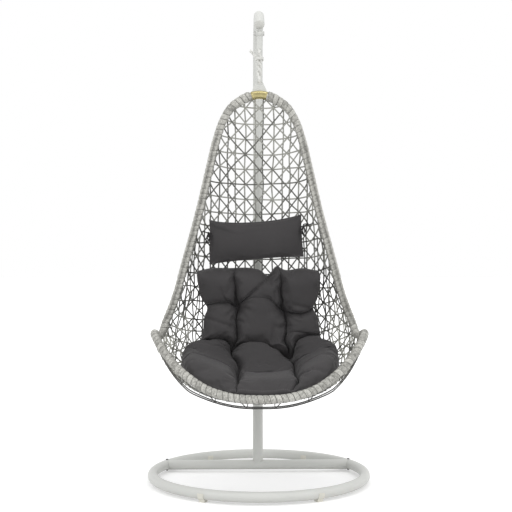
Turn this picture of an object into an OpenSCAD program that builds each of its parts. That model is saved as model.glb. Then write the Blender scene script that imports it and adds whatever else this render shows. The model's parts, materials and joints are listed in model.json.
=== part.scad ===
// Hanging egg chair: a basket on a rope, under the crook of a post that stands on a base ring.
// Millimetres. Origin: centre of the base ring on the floor. +Z up, the chair faces -Y.

/* [Base ring] */
// Diameter of the ring, measured between tube centres
ring_d = 888; // [760:2:1000]
// Outside diameter of the ring's tube and of the cross bar
ring_tube_d = 42; // [36:1:44]
// Wall of the stand's steel tubes
tube_wall = 2; // [1.5:0.1:2.5]
// Distance of the cross bar and the post behind the ring's centre
bar_y = 190; // [180:2:230]
// Height of the feet under the tube
foot_h = 9; // [7:0.5:14]
// Length of each foot along the ring
foot_len = 26; // [18:1:40]
// Angle of each foot from the front or the back of the ring
foot_angle = 30; // [20:1:40]
// Angle of the joints between the two arcs, behind the ring's middle
seam_angle = 24.5; // [22:0.5:28]
// Diameter of the joint bolts
arc_bolt_d = 6; // [5:0.5:8]

/* [Post] */
// Outside diameter of the lower post
lower_post_d = 44.5; // [43:0.5:48]
// Height of the top of the lower post
lower_post_top = 980; // [700:10:1200]
// Outside diameter of the upper post
upper_post_d = 42; // [38:0.5:42.5]
// Length of the upper post's narrowed end inside the lower post
swage_len = 90; // [60:5:150]
// Height at which the crook starts to bend
crook_z = 1784; // [1760:1:1830]
// Radius of the crook's centre line
crook_r = 170; // [166:1:174]
// Sweep of the crook
crook_sweep = 140; // [136:1:142]
// Length of the stub that holds the lower post
stub_len = 80; // [50:5:140]
// Diameter of the screws through the post
post_screw_d = 8; // [6:0.5:10]

/* [Hanger] */
// Distance of the hang line in front of the ring's centre
hang_front = 105; // [102:1:109]
// Drop of the pivot bolt below the crook's tip
pivot_drop = 36; // [32:1:40]
// Diameter of the pivot bolt
pivot_d = 10; // [8:0.5:12]
// Thickness of each cheek of the hanger lug
cheek_t = 4; // [3:0.5:6]
// Width of the hanger strap
strap_w = 19; // [18:0.5:24]
// Thickness of the hanger strap
strap_t = 5; // [4:0.5:6]
// Distance from the pivot bolt to the strap's eye
strap_len = 68; // [50:1:90]
// Diameter of the rope
rope_d = 11; // [9:0.5:11]
// Number of half turns that the doubled rope is twisted
rope_half_turns = 3; // [1:2:5]

/* [Basket frame] */
// Height of the hoop's centre line at the crown
crown_z = 1606; // [1560:2:1620]
// Width of the hoop at the shoulders, between tube centres
shoulder_w = 348; // [320:2:400]
// Width of the hoop at the middle of the back
back_w = 494; // [460:2:540]
// Width of the hoop at the hips
hip_w = 698; // [680:2:740]
// Distance between the ears
basket_w = 852; // [840:2:868]
// Height of the ears
ear_z = 630; // [600:2:650]
// Distance of the ears in front of the ring's centre
ear_front = 142; // [132:2:150]
// Backward lean of the hoop from crown to hips
hoop_lean = 40; // [34:1:48]
// Distance of the front rim's middle in front of the ring's centre
rim_front = 446; // [430:2:450]
// Height of the front rim's middle
rim_z = 400; // [390:2:420]
// Outside diameter of the frame's steel tube
frame_tube_d = 28; // [25:0.5:30]
// Wall of the frame's steel tube
frame_wall = 1.3; // [1.2:0.1:2]
// Thickness of the wicker strip wound round the tube
wrap_t = 2.7; // [2:0.1:4]
// Length of the brass sleeve on the crown
sleeve_len = 66; // [50:2:90]
// Thickness of the brass sleeve
sleeve_t = 2.2; // [1.5:0.1:2.6]

/* [Wicker basket] */
// Distance of the rearmost net behind the ring's centre
net_rear_y = 98; // [80:2:100]
// Height of the lowest point of the bowl
bowl_z = 360; // [350:2:370]
// Thickness of the woven net
net_t = 4; // [3:0.5:5]
// Openings across the net
openings_across = 12; // [8:1:12]
// Openings down the net
openings_down = 14; // [10:1:16]
// Width of a bar of the net, as a share of one bar and opening
bar_share = 0.26; // [0.15:0.01:0.4]

/* [Crown lug] */
// Thickness of the lug's plate
lug_t = 5; // [4:0.5:6]
// Width of the lug's foot on the sleeve
lug_foot_w = 58; // [48:2:64]
// Height of the lug's eye above the crown's centre line
lug_eye_h = 44; // [42:1:50]
// Diameter of the lug's eye
lug_eye_d = 20; // [19:0.5:24]

/* [Cushions] */
// Thickness of the seat cushion
seat_t = 98; // [70:2:110]
// Widest part of the seat cushion
seat_w = 638; // [560:2:660]
// Thickness of the head pillow
pillow_t = 80; // [50:2:90]
// Length of the head pillow
pillow_w = 392; // [320:2:420]
// Height of the head pillow's face
pillow_h = 163; // [130:1:180]
// Diameter of the pillow's tie ribbons
tie_d = 4; // [3:0.5:6]

/* [Hidden] */
$fn = 72;

weld_gap = 0.25;     // air between two welded round faces
slide_gap = 0.25;    // radial air between telescoped tubes
hole_gap = 0.2;      // radial air round a bolt
pivot_gap = 0.1;     // radial air round the pivot bolt
seat_gap = 0.3;      // air between a piece and the round face that carries it
over = 1;            // overshoot of a cut

ring_r = ring_d / 2;
ring_tube_r = ring_tube_d / 2;
ring_z = foot_h + ring_tube_r;
bar_half = sqrt(ring_r * ring_r - bar_y * bar_y);
bolt_angle = seam_angle + 1.8;
spigot_sweep = 6;

lower_r = lower_post_d / 2;
lower_bore_r = lower_r - tube_wall;
upper_r = upper_post_d / 2;
post_foot_z = ring_z + ring_tube_r + seat_gap;
stub_r = lower_bore_r - slide_gap;
swage_r = lower_bore_r - slide_gap;
crook_y = bar_y - crook_r;
tip_y = crook_y + crook_r * cos(crook_sweep);
tip_z = crook_z + crook_r * sin(crook_sweep);
stub_screw_z = post_foot_z + stub_len / 2;
joint_screw_z = lower_post_top - swage_len / 2;

cap_t = 5;
cap_plug_len = 10;
plug_gap = 0.7;               // a straight plug in the bent tube needs more air than slide_gap

hang_y = -hang_front;
pivot_z = tip_z - pivot_drop;
eye_z = pivot_z - strap_len;
knuckle_r = pivot_d / 2 + pivot_gap + strap_t;
cheek_air = 0.6;
cheek_x = strap_w / 2 + cheek_air;
cheek_r = pivot_d / 2 + 6;
pivot_head_h = 6;
pivot_nut_h = 8;
pivot_hex_r = pivot_d * 0.92;

rope_r = rope_d / 2;
rope_air = 1;                 // air between the rope and the eyes it runs through
strap_eye_r = rope_r + rope_air;
pair_r = rope_r + 0.4;        // distance of each leg from the twisted pair's middle
loop_r = 13;                  // the rope's turn through an eye
eye_c_z = crown_z + lug_eye_h;
lug_head_r = lug_eye_d / 2 + 6;
rope_top_z = eye_z - loop_r;
rope_low_apex = eye_c_z + lug_eye_d / 2 - rope_r - rope_air;
rope_low_z = rope_low_apex + loop_r;

frame_r = frame_tube_d / 2;
skin_gap = 0.3;               // air between the steel tube and what is wound or slid on it
wrap_in = frame_r + skin_gap;
wrap_out = wrap_in + wrap_t;
sleeve_out = wrap_in + sleeve_t;
loop_sides = 10;
ring_step = 52;
front_y = -rim_front;
ear_y = -ear_front;
ear_half = basket_w / 2;

// ---- small helpers ----

function unit(v) = v / norm(v);
function mirror_x(p) = [-p[0], p[1], p[2]];
function mix(a, b, t) = a + (b - a) * t;

// Smooth curve through p1 and p2, with p0 and p3 as neighbours, at t from 0 to 1.
// The tangents are scaled by the lengths of the stretches, so close points make no loops.
function bend(p0, p1, p2, p3, t) =
    let (
        a = norm(p1 - p0) + 0.001,
        b = norm(p2 - p1) + 0.001,
        c = norm(p3 - p2) + 0.001,
        m1 = ((p1 - p0) / a * b + (p2 - p1) / b * a) / (a + b) * b,
        m2 = ((p2 - p1) / b * c + (p3 - p2) / c * b) / (b + c) * b,
        t2 = t * t,
        t3 = t2 * t
    )
    p1 * (2 * t3 - 3 * t2 + 1) + m1 * (t3 - 2 * t2 + t) + p2 * (3 * t2 - 2 * t3) + m2 * (t3 - t2);

// ---- the basket frame's centre line ----

// Height at fraction f of the way from the ears up to the crown
function hoop_z(f) = mix(ear_z, crown_z, f);

// The hoop leans back more and more towards the hips
function hoop_y(f) = hang_y + hoop_lean * pow(1 - f, 2.2);

// A point of the hoop: half its width, and its height as a fraction
function hoop_pt(half, f) = [half, hoop_y(f), hoop_z(f)];

// The hoop's foot, where it turns forward into the ear: in from the ear, behind it, above it
hoop_foot = [[36, 82, 30], [26, 69, -3], [12, 37, -14]];
function foot_pt(i) = [ear_half - hoop_foot[i][0], ear_y + hoop_foot[i][1], ear_z + hoop_foot[i][2]];

// A point of the front rim, an ellipse in plan that rises to the ears, a degrees from its middle
function rim_pt(a) =
    [ear_half * sin(a), mix(ear_y, front_y, cos(a)), rim_z + (ear_z - rim_z) * pow(sin(a), 2.7)];

shoulder = shoulder_w / 2;
middle = back_w / 2;
hip = hip_w / 2;

// Stations down the right half: crown, shoulder, back, hip, foot of the hoop, ear, front rim
right_half = [
    [0, hang_y, crown_z],
    [sleeve_len / 2, hang_y, crown_z - 5],
    hoop_pt(shoulder * 0.463, 0.972),
    hoop_pt(shoulder * 0.68, 0.941),
    hoop_pt(shoulder * 0.85, 0.892),
    hoop_pt(shoulder, 0.816),
    hoop_pt(mix(shoulder, middle, 0.45), 0.678),
    hoop_pt(middle, 0.506),
    hoop_pt(mix(middle, hip, 0.5), 0.318),
    hoop_pt(hip, 0.137),
    foot_pt(0),
    foot_pt(1),
    foot_pt(2),
    rim_pt(90),
    rim_pt(75),
    rim_pt(60),
    rim_pt(45),
    rim_pt(30),
    rim_pt(15),
    rim_pt(0)
];
last = len(right_half) - 1;
all_round = concat(right_half, [for (i = [last - 1 : -1 : 1]) mirror_x(right_half[i])]);
count = len(all_round);

function station(i) = all_round[(i + count) % count];

// The frame's centre line at position v: 0 is the crown, last is the middle of the front rim
function frame_at(v) =
    let (i = floor(v))
    bend(station(i - 1), station(i), station(i + 1), station(i + 2), v - i);

// Stations closer than ring_step still get two rings, long stretches more
function rings_in(i) = max(2, ceil(norm(station(i + 1) - station(i)) / ring_step));

// Rings from station a to station b
function frame_path(a, b) =
    concat([for (i = [a : b - 1], k = [0 : rings_in(i) - 1]) frame_at(i + k / rings_in(i))], [frame_at(b)]);

// The path moved along itself by d at its start and its end, to open a joint
function shortened(path, d) =
    let (n = len(path) - 1)
    [for (i = [0 : n])
        i == 0 ? path[0] + unit(path[1] - path[0]) * d
        : i == n ? path[n] + unit(path[n - 1] - path[n]) * d
        : path[i]];

// ---- the net's surface ----

// Middle line of the net, from the crown down the back and along the bowl to the front rim.
// Each row holds the depth (0 front rim, 1 rearmost net) and the height (0 lowest, 1 crown).
profile = [
    [0, 0], [0.634, 0.9937], [0.642, 0.9715], [0.650, 0.940], [0.668, 0.8987], [0.716, 0.837],
    [0.808, 0.728], [0.906, 0.593], [0.977, 0.4415], [1.0, 0.295], [0.974, 0.184], [0.914, 0.108],
    [0.827, 0.0525], [0.695, 0.0178], [0.545, 0.0024], [0.385, 0], [0.244, 0.005], [0.128, 0.0165],
    [0.041, 0.0285], [0, 0]
];
function middle_station(i) =
    i <= 0 ? right_half[0]
    : i >= last ? right_half[last]
    : [0, mix(front_y, net_rear_y, profile[i][0]), mix(bowl_z, crown_z, profile[i][1])];
function middle_at(v) =
    let (i = floor(v))
    bend(middle_station(i - 1), middle_station(i), middle_station(i + 1), middle_station(i + 2), v - i);

// The net between the two sides of the frame: at v, a half ellipse through the middle line
function net_at(a, v) =
    let (p = frame_at(v), m = middle_at(v))
    [p[0] * sin(a), mix(p[1], m[1], cos(a)), mix(p[2], m[2], cos(a))];

basket_middle = [0, mix(front_y, net_rear_y, 0.515), mix(bowl_z, crown_z, 0.378)];

// Direction square to the net, towards the sitter
function net_normal(a, v) =
    let (
        n = unit(cross(net_at(a + 0.5, v) - net_at(a - 0.5, v), net_at(a, v + 0.02) - net_at(a, v - 0.02)))
    )
    n * (basket_middle - net_at(a, v)) > 0 ? n : -n;

function from_net(a, v, h) = net_at(a, v) + net_normal(a, v) * h;

function to_stretch(p, a, b) =
    let (ab = b - a, t = max(0, min(1, (p - a) * ab / (ab * ab))))
    norm(p - a - ab * t);

half_path = frame_path(0, last);
function to_frame(p) =
    min([for (i = [0 : len(half_path) - 2]) to_stretch(p, half_path[i], half_path[i + 1])]);

// Largest angle at which the net still stays clear of the wrapped frame
net_clear = wrap_out + 2.4;
function net_edge(v, lo = 0, hi = 90, n = 11) =
    n == 0 ? lo
    : let (a = (lo + hi) / 2)
      to_frame(net_at(a, v)) > net_clear ? net_edge(v, a, hi, n - 1) : net_edge(v, lo, a, n - 1);

// ---- solids made from grids of points ----

// Faces of a closed tube of rings, "wrap" joins the last ring to the first
function tube_faces(rings, sides, first, flip, closed = false) =
    [for (i = [0 : rings - (closed ? 1 : 2)], k = [0 : sides - 1])
        let (
            j = (i + 1) % rings,
            m = (k + 1) % sides,
            a = first + i * sides + k,
            b = first + i * sides + m,
            c = first + j * sides + m,
            d = first + j * sides + k
        )
        each flip ? [[a, b, c], [a, c, d]] : [[a, c, b], [a, d, c]]];

function tangent(path, i, closed = false) =
    let (n = len(path))
    closed ? unit(path[(i + 1) % n] - path[(i - 1 + n) % n])
    : unit(path[min(i + 1, n - 1)] - path[max(i - 1, 0)]);

// One ring of points round the path, turned so that side 0 faces away from "hub"
function ring_pts(path, i, r, sides, hub, closed = false) =
    let (
        t = tangent(path, i, closed),
        side = unit(cross(t, path[i] - hub)),
        outward = cross(side, t)
    )
    [for (k = [0 : sides - 1])
        path[i] + (outward * cos(360 * k / sides) + side * sin(360 * k / sides)) * r];

// Hollow tube along an open path
module hollow_sweep(path, r_out, r_in, sides, hub) {
    n = len(path);
    outer = [for (i = [0 : n - 1]) each ring_pts(path, i, r_out, sides, hub)];
    inner = [for (i = [0 : n - 1]) each ring_pts(path, i, r_in, sides, hub)];
    far = n * sides;
    end_a = [for (k = [0 : sides - 1]) let (m = (k + 1) % sides)
        each [[k, m, far + m], [k, far + m, far + k]]];
    z = (n - 1) * sides;
    end_b = [for (k = [0 : sides - 1]) let (m = (k + 1) % sides)
        each [[z + k, far + z + m, z + m], [z + k, far + z + k, far + z + m]]];
    polyhedron(
        concat(outer, inner),
        concat(tube_faces(n, sides, 0, false), tube_faces(n, sides, far, true), end_a, end_b),
        convexity = 10
    );
}

// Solid tube along an open path
module solid_sweep(path, r, sides, hub) {
    n = len(path);
    pts = [for (i = [0 : n - 1]) each ring_pts(path, i, r, sides, hub)];
    z = (n - 1) * sides;
    polyhedron(
        concat(pts, [path[0], path[n - 1]]),
        concat(
            tube_faces(n, sides, 0, false),
            [for (k = [0 : sides - 1]) [n * sides, k, (k + 1) % sides]],
            [for (k = [0 : sides - 1]) [n * sides + 1, z + (k + 1) % sides, z + k]]
        ),
        convexity = 10
    );
}

// Lines from 0 to 1 over n openings between n + 1 bars. A bar takes its share of each pitch, and
// each opening is split into cells.
function bar_lines(n, share, cells) =
    let (pitch = 1 / (n + share))
    [for (k = [0 : n]) each k == n
        ? [n * pitch, 1]
        : concat(k * pitch, [for (m = [0 : cells - 1]) (k + mix(share, 1, m / cells)) * pitch])];

// Sheet between an upper and a lower grid of nu by nv points, which are apart at their edges too.
// One column in cells_u + 1 and one row in cells_v + 1 is a bar. The rest is open.
module barred_sheet(top, bottom, nu, nv, cells_u, cells_v) {
    s = nu * nv;
    function at(i, j) = j * nu + i;
    function full(i, j) = i >= 0 && i < nu - 1 && j >= 0 && j < nv - 1
        && (i % (cells_u + 1) == 0 || j % (cells_v + 1) == 0);
    function quad(a, b, c, d) = [[a, b, c], [a, c, d]];
    function wall(a, b) = quad(a, s + a, s + b, b);
    polyhedron(
        concat(top, bottom),
        [for (j = [0 : nv - 2], i = [0 : nu - 2]) if (full(i, j))
            let (a = at(i, j), b = at(i + 1, j), c = at(i + 1, j + 1), d = at(i, j + 1))
            each concat(
                quad(a, b, c, d),
                quad(s + a, s + d, s + c, s + b),
                full(i, j - 1) ? [] : wall(a, b),
                full(i + 1, j) ? [] : wall(b, c),
                full(i, j + 1) ? [] : wall(c, d),
                full(i - 1, j) ? [] : wall(d, a)
            )],
        convexity = 10
    );
}

// Two triangles of a cell, with the diagonal that every corner cell of a pad needs
function cell(a, b, c, d, swap) = swap ? [[a, b, d], [b, c, d]] : [[a, b, c], [a, c, d]];
function back_to_front(faces) = [for (f = faces) [f[0], f[2], f[1]]];

// Pillow-like solid: an upper and a lower grid of nu by nv points that share their border
module pad(top, bottom, nu, nv) {
    s = nu * nv;
    function inside(i, j) = i > 0 && i < nu - 1 && j > 0 && j < nv - 1;
    function up(i, j) = j * nu + i;
    function low(i, j) = inside(i, j) ? s + (j - 1) * (nu - 2) + i - 1 : up(i, j);
    function turned(i, j) = (i < (nu - 1) / 2) != (j < (nv - 1) / 2);
    polyhedron(
        concat(top, [for (j = [1 : nv - 2], i = [1 : nu - 2]) bottom[j * nu + i]]),
        concat(
            [for (j = [0 : nv - 2], i = [0 : nu - 2])
                each cell(up(i, j), up(i + 1, j), up(i + 1, j + 1), up(i, j + 1), turned(i, j))],
            [for (j = [0 : nv - 2], i = [0 : nu - 2])
                each back_to_front(
                    cell(low(i, j), low(i + 1, j), low(i + 1, j + 1), low(i, j + 1), turned(i, j)))]
        ),
        convexity = 10
    );
}

// ---- base ----

// Part of the ring from angle a0 to a1, counted from +X towards +Y
module ring_solid(a0, a1, r) {
    translate([0, 0, ring_z])
        rotate([0, 0, a0])
            rotate_extrude(angle = a1 - a0, $fn = 180)
                translate([ring_r, 0])
                    circle(r = r);
}

module ring_arc(a0, a1, r_out, r_in) {
    difference() {
        ring_solid(a0, a1, r_out);
        ring_solid(a0 - over, a1 + over, r_in);
    }
}

module at_joints() {
    for (side = [0, 1])
        mirror([side, 0, 0])
            rotate([0, 0, bolt_angle])
                translate([ring_r, 0, ring_z])
                    children();
}

module joint_holes() {
    at_joints()
        cylinder(h = 2 * ring_d, r = arc_bolt_d / 2 + hole_gap, center = true);
}

module base_front_arc() {
    color([0.84, 0.84, 0.82])
        ring_arc(180 - seam_angle, 360 + seam_angle, ring_tube_r, ring_tube_r - tube_wall);
}

module base_rear_arc() {
    color([0.84, 0.84, 0.82])
        difference() {
            ring_arc(seam_angle, 180 - seam_angle, ring_tube_r, ring_tube_r - tube_wall);
            joint_holes();
        }
}

module arc_spigots() {
    r = ring_tube_r - tube_wall - slide_gap;
    color([0.7, 0.7, 0.7])
        difference() {
            for (side = [0, 1])
                mirror([side, 0, 0])
                    ring_arc(seam_angle - spigot_sweep, seam_angle + spigot_sweep, r, r - tube_wall);
            joint_holes();
        }
}

bolt_head_h = 3;
arc_nut_h = 4;
arc_head_r = arc_bolt_d * 0.9;

module arc_bolts() {
    shank = 2 * ring_tube_r + seat_gap + arc_nut_h + 1.5;
    color([0.35, 0.35, 0.36])
        at_joints() {
            translate([0, 0, ring_tube_r + seat_gap - shank])
                cylinder(h = shank + 0.1, r = arc_bolt_d / 2);
            translate([0, 0, ring_tube_r + seat_gap])
                cylinder(h = bolt_head_h, r = arc_head_r);
        }
}

module arc_nuts() {
    color([0.6, 0.6, 0.6])
        at_joints()
            translate([0, 0, -ring_tube_r - seat_gap - arc_nut_h])
                difference() {
                    cylinder(h = arc_nut_h, r = arc_bolt_d, $fn = 6);
                    translate([0, 0, -over])
                        cylinder(h = arc_nut_h + 2 * over, r = arc_bolt_d / 2 + pivot_gap);
                }
}

module lying_bar(r, half) {
    translate([-half, bar_y, ring_z])
        rotate([0, 90, 0])
            cylinder(h = 2 * half, r = r);
}

// Cross bar with its ends cut to the shape of the ring's tube
module cross_bar() {
    color([0.84, 0.84, 0.82])
        difference() {
            lying_bar(ring_tube_r, bar_half);
            lying_bar(ring_tube_r - tube_wall, bar_half + over);
            ring_solid(0, 180, ring_tube_r + weld_gap);
        }
}

module post_stub() {
    color([0.84, 0.84, 0.82])
        difference() {
            translate([0, bar_y, ring_z])
                cylinder(h = ring_tube_r + stub_len, r = stub_r);
            translate([0, bar_y, ring_z - over])
                cylinder(h = ring_tube_r + stub_len + 2 * over, r = stub_r - tube_wall);
            lying_bar(ring_tube_r + weld_gap, 2 * ring_tube_d);
            rear_screw_hole(stub_screw_z);
        }
}

// Clip-on foot: a plastic collar round the tube on a flat pad, open at the top
foot_wall = 3;
module ring_feet() {
    color([0.80, 0.78, 0.70])
        for (side = [0, 180], turn = [-foot_angle, foot_angle])
            rotate([0, 0, side + turn - 90])
                translate([ring_r, 0, 0])
                    difference() {
                        union() {
                            translate([0, foot_len / 2, ring_z])
                                rotate([90, 0, 0])
                                    cylinder(h = foot_len, r = ring_tube_r + foot_wall);
                            translate([-ring_tube_r * 0.55, -foot_len / 2, 0])
                                cube([ring_tube_r * 1.1, foot_len, foot_h]);
                        }
                        translate([-ring_r, 0, ring_z])
                            rotate([0, 0, -foot_angle])
                                rotate_extrude(angle = 2 * foot_angle)
                                    translate([ring_r, 0])
                                        circle(r = ring_tube_r + seat_gap);
                        translate([-ring_tube_d, -foot_len, ring_z + ring_tube_r * 0.25])
                            cube([2 * ring_tube_d, 2 * foot_len, 2 * ring_tube_d]);
                        translate([-ring_tube_d, -foot_len, -ring_tube_d])
                            cube([2 * ring_tube_d, 2 * foot_len, ring_tube_d]);
                    }
}

// ---- post ----

module rear_screw_hole(z) {
    translate([0, bar_y, z])
        rotate([-90, 0, 0])
            cylinder(h = 2 * lower_post_d, r = post_screw_d / 2 + hole_gap);
}

module lower_post() {
    color([0.84, 0.84, 0.82])
        difference() {
            translate([0, bar_y, post_foot_z])
                cylinder(h = lower_post_top - post_foot_z, r = lower_r);
            translate([0, bar_y, post_foot_z - over])
                cylinder(h = lower_post_top - post_foot_z + 2 * over, r = lower_bore_r);
            rear_screw_hole(stub_screw_z);
            rear_screw_hole(joint_screw_z);
        }
}

// Straight post and crook of radius r round the same centre line
module crook_solid(r, z0, extra = 0) {
    translate([0, bar_y, z0])
        cylinder(h = crook_z - z0, r = r);
    translate([0, crook_y, crook_z])
        rotate([90, 0, 90])
            rotate_extrude(angle = crook_sweep + extra)
                translate([crook_r, 0])
                    circle(r = r);
}

module upper_post() {
    color([0.86, 0.86, 0.84])
        difference() {
            union() {
                crook_solid(upper_r, lower_post_top);
                translate([0, bar_y, lower_post_top - swage_len])
                    cylinder(h = swage_len, r = swage_r);
            }
            crook_solid(upper_r - tube_wall, lower_post_top - swage_len + tube_wall, 0.5);
            translate([0, bar_y, lower_post_top - swage_len - over])
                cylinder(h = swage_len + over, r = swage_r - tube_wall);
            rear_screw_hole(joint_screw_z);
        }
}

screw_head_h = 4;
post_nut_h = 6;

// Each screw enters from the rear, through both tubes, into a nut inside
module at_screws() {
    for (z = [stub_screw_z, joint_screw_z])
        translate([0, bar_y, z])
            rotate([-90, 0, 0])
                children();
}

nut_face = swage_r - tube_wall - 2;
module post_screws() {
    color([0.75, 0.75, 0.76])
        at_screws() {
            translate([0, 0, nut_face - post_nut_h])
                cylinder(h = lower_r + seat_gap - nut_face + post_nut_h + 0.1, r = post_screw_d / 2);
            translate([0, 0, lower_r + seat_gap])
                cylinder(h = screw_head_h, r = post_screw_d * 0.85);
        }
}

module post_nuts() {
    color([0.7, 0.7, 0.7])
        at_screws()
            translate([0, 0, nut_face - post_nut_h])
                difference() {
                    cylinder(h = post_nut_h, r = post_screw_d * 0.9, $fn = 6);
                    translate([0, 0, -over])
                        cylinder(h = post_nut_h + 2 * over, r = post_screw_d / 2 + pivot_gap);
                }
}

module at_tip() {
    translate([0, tip_y, tip_z])
        rotate([crook_sweep, 0, 0])
            children();
}

module crook_end_cap() {
    r = upper_r - 0.5;
    bore = upper_r - tube_wall - plug_gap;
    color([0.80, 0.80, 0.78])
        at_tip()
            rotate_extrude()
                polygon([
                    [0, -cap_plug_len], [bore - 1, -cap_plug_len], [bore, -cap_plug_len + 2],
                    [bore, seat_gap],
                    [r, seat_gap], [r, cap_t * 0.45], [r * 0.86, cap_t * 0.8], [r * 0.6, cap_t], [0, cap_t]
                ]);
}

// ---- hanger ----

// Two cheeks welded under the crook's tip, with the pivot bolt between them
module hanger_lug() {
    weld_a = crook_sweep - 9;
    weld_y = crook_y + (crook_r - upper_r * 0.85) * cos(weld_a);
    weld_z = crook_z + (crook_r - upper_r * 0.85) * sin(weld_a);
    color([0.82, 0.82, 0.80])
        difference() {
            for (side = [-1, 1])
                translate([side * (cheek_x + cheek_t / 2), 0, 0])
                    rotate([90, 0, 90])
                        linear_extrude(height = cheek_t, center = true)
                            hull() {
                                translate([hang_y, pivot_z])
                                    circle(r = cheek_r, $fn = 32);
                                translate([weld_y, weld_z])
                                    circle(r = cheek_r + 1, $fn = 32);
                            }
            translate([-ring_r, hang_y, pivot_z])
                rotate([0, 90, 0])
                    cylinder(h = ring_d, r = pivot_d / 2 + hole_gap);
            crook_solid(upper_r + weld_gap, crook_z - over, 2.5);
        }
}

module along_pivot() {
    translate([0, hang_y, pivot_z])
        rotate([0, 90, 0])
            children();
}

lug_face = cheek_x + cheek_t + 0.2;
module lug_bolt() {
    color([0.72, 0.72, 0.72])
        along_pivot() {
            translate([0, 0, -lug_face - pivot_nut_h - 2])
                cylinder(h = 2 * lug_face + pivot_nut_h + 2.1, r = pivot_d / 2);
            translate([0, 0, lug_face])
                cylinder(h = pivot_head_h, r = pivot_hex_r, $fn = 6);
        }
}

module lug_nut() {
    color([0.66, 0.66, 0.66])
        along_pivot()
            translate([0, 0, -lug_face - pivot_nut_h])
                difference() {
                    cylinder(h = pivot_nut_h, r = pivot_hex_r, $fn = 6);
                    translate([0, 0, -over])
                        cylinder(h = pivot_nut_h + 2 * over, r = pivot_d / 2 + 0.05);
                }
}

module hanger_strap() {
    color([0.83, 0.83, 0.80])
        difference() {
            union() {
                along_pivot()
                    cylinder(h = strap_w, r = knuckle_r, center = true);
                translate([-strap_w / 2, hang_y - strap_t / 2, eye_z])
                    cube([strap_w, strap_t, strap_len]);
                translate([0, hang_y + strap_t / 2, eye_z])
                    rotate([90, 0, 0])
                        cylinder(h = strap_t, r = strap_w / 2);
            }
            along_pivot()
                cylinder(h = strap_w + 2 * over, r = pivot_d / 2 + pivot_gap, center = true);
            translate([0, hang_y + strap_w, eye_z])
                rotate([90, 0, 0])
                    cylinder(h = 2 * strap_w, r = strap_eye_r);
        }
}

// ---- rope ----

rope_sides = 8;
leg_rings = 15;
turn_rings = 7;

// One leg at fraction t of its way down, side 1 or -1. The pair is twisted between its end turns.
function rope_leg(side, t) =
    let (
        ease = t * t * (3 - 2 * t),
        twist = 180 * rope_half_turns * ease,
        spread = mix(pair_r, loop_r, pow(abs(2 * t - 1), 6))
    )
    [side * spread * sin(twist), hang_y - side * spread * cos(twist), mix(rope_top_z, rope_low_z, t)];

function rope_turn(a, z, up) = [0, hang_y + loop_r * cos(a), z + up * loop_r * sin(a)];

odd_turns = rope_half_turns % 2 == 1;
rope_path = concat(
    [for (i = [0 : leg_rings]) rope_leg(1, i / leg_rings)],
    [for (i = [1 : turn_rings - 1])
        rope_turn(180 * (odd_turns ? i : turn_rings - i) / turn_rings, rope_low_z, -1)],
    [for (i = [leg_rings : -1 : 0]) rope_leg(-1, i / leg_rings)],
    [for (i = [1 : turn_rings - 1]) rope_turn(180 * i / turn_rings, rope_top_z, 1)]
);
rope_gap = min([for (i = [0 : leg_rings], k = [0 : leg_rings])
    norm(rope_leg(1, i / leg_rings) - rope_leg(-1, k / leg_rings))]) - rope_d;

// Doubled rope: down from the strap's eye, round through the lug's eye and up again
module hanging_rope() {
    n = len(rope_path);
    hub = [ring_d, hang_y, rope_top_z];
    echo(rope_least_gap = rope_gap);
    color([0.88, 0.88, 0.86])
        polyhedron(
            [for (i = [0 : n - 1]) each ring_pts(rope_path, i, rope_r, rope_sides, hub, true)],
            tube_faces(n, rope_sides, 0, false, true),
            convexity = 10
        );
}

// Turn of rope that binds both legs, with the rope's loose tail
seizing_t = 0.2;
seizing_r = 3;
tail_d = 10;
tail_len = 30;
module rope_seizing() {
    bound_r = pair_r + rope_r + 1;
    z = mix(rope_top_z, rope_low_z, seizing_t);
    color([0.86, 0.86, 0.84])
        translate([0, hang_y, z]) {
            rotate_extrude()
                translate([bound_r + seizing_r, 0])
                    circle(r = seizing_r);
            translate([-bound_r - seizing_r, 0, 0])
                rotate([0, -40, 0])
                    cylinder(h = tail_len, r = tail_d / 2);
        }
}

// ---- basket ----

// Plate on the crown sleeve with the eye for the rope
module crown_lug() {
    color([0.84, 0.84, 0.82])
        difference() {
            translate([0, hang_y + lug_t / 2, 0])
                rotate([90, 0, 0])
                    linear_extrude(height = lug_t)
                        hull() {
                            translate([0, eye_c_z])
                                circle(r = lug_head_r, $fn = 32);
                            translate([-lug_foot_w / 2, crown_z])
                                square([lug_foot_w, sleeve_out + 3]);
                        }
            translate([0, hang_y + lug_t, eye_c_z])
                rotate([90, 0, 0])
                    cylinder(h = 2 * lug_t, r = lug_eye_d / 2);
            solid_sweep(frame_stretch(-1, 1), sleeve_out + weld_gap, loop_sides, basket_middle);
            translate([-ring_r, hang_y - lug_t, 0])
                cube([ring_d, 2 * lug_t, crown_z]);
        }
}

// Rings from station a to station b with n rings in each stretch
function frame_stretch(a, b, n = 2) =
    [for (k = [0 : n * (b - a)]) frame_at(a + k / n)];

module crown_sleeve() {
    color([0.72, 0.63, 0.34])
        hollow_sweep(shortened(frame_stretch(-1, 1), 2.5), sleeve_out, wrap_in, loop_sides, basket_middle);
}

// Steel tube of the hoop and the front rim, bent from one length that meets under the sleeve
module frame_loop() {
    color([0.5, 0.5, 0.5])
        hollow_sweep(shortened(frame_path(0, count), skin_gap), frame_r, frame_r - frame_wall,
            loop_sides, basket_middle);
}

module frame_wrap() {
    color([0.70, 0.69, 0.67])
        hollow_sweep(shortened(frame_path(1, count - 1), skin_gap), wrap_out, wrap_in,
            loop_sides, basket_middle);
}

net_first = 1.5;
net_last = 18.1;
across = bar_lines(openings_across, bar_share, 1);
down = bar_lines(openings_down, bar_share, 2);

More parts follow.
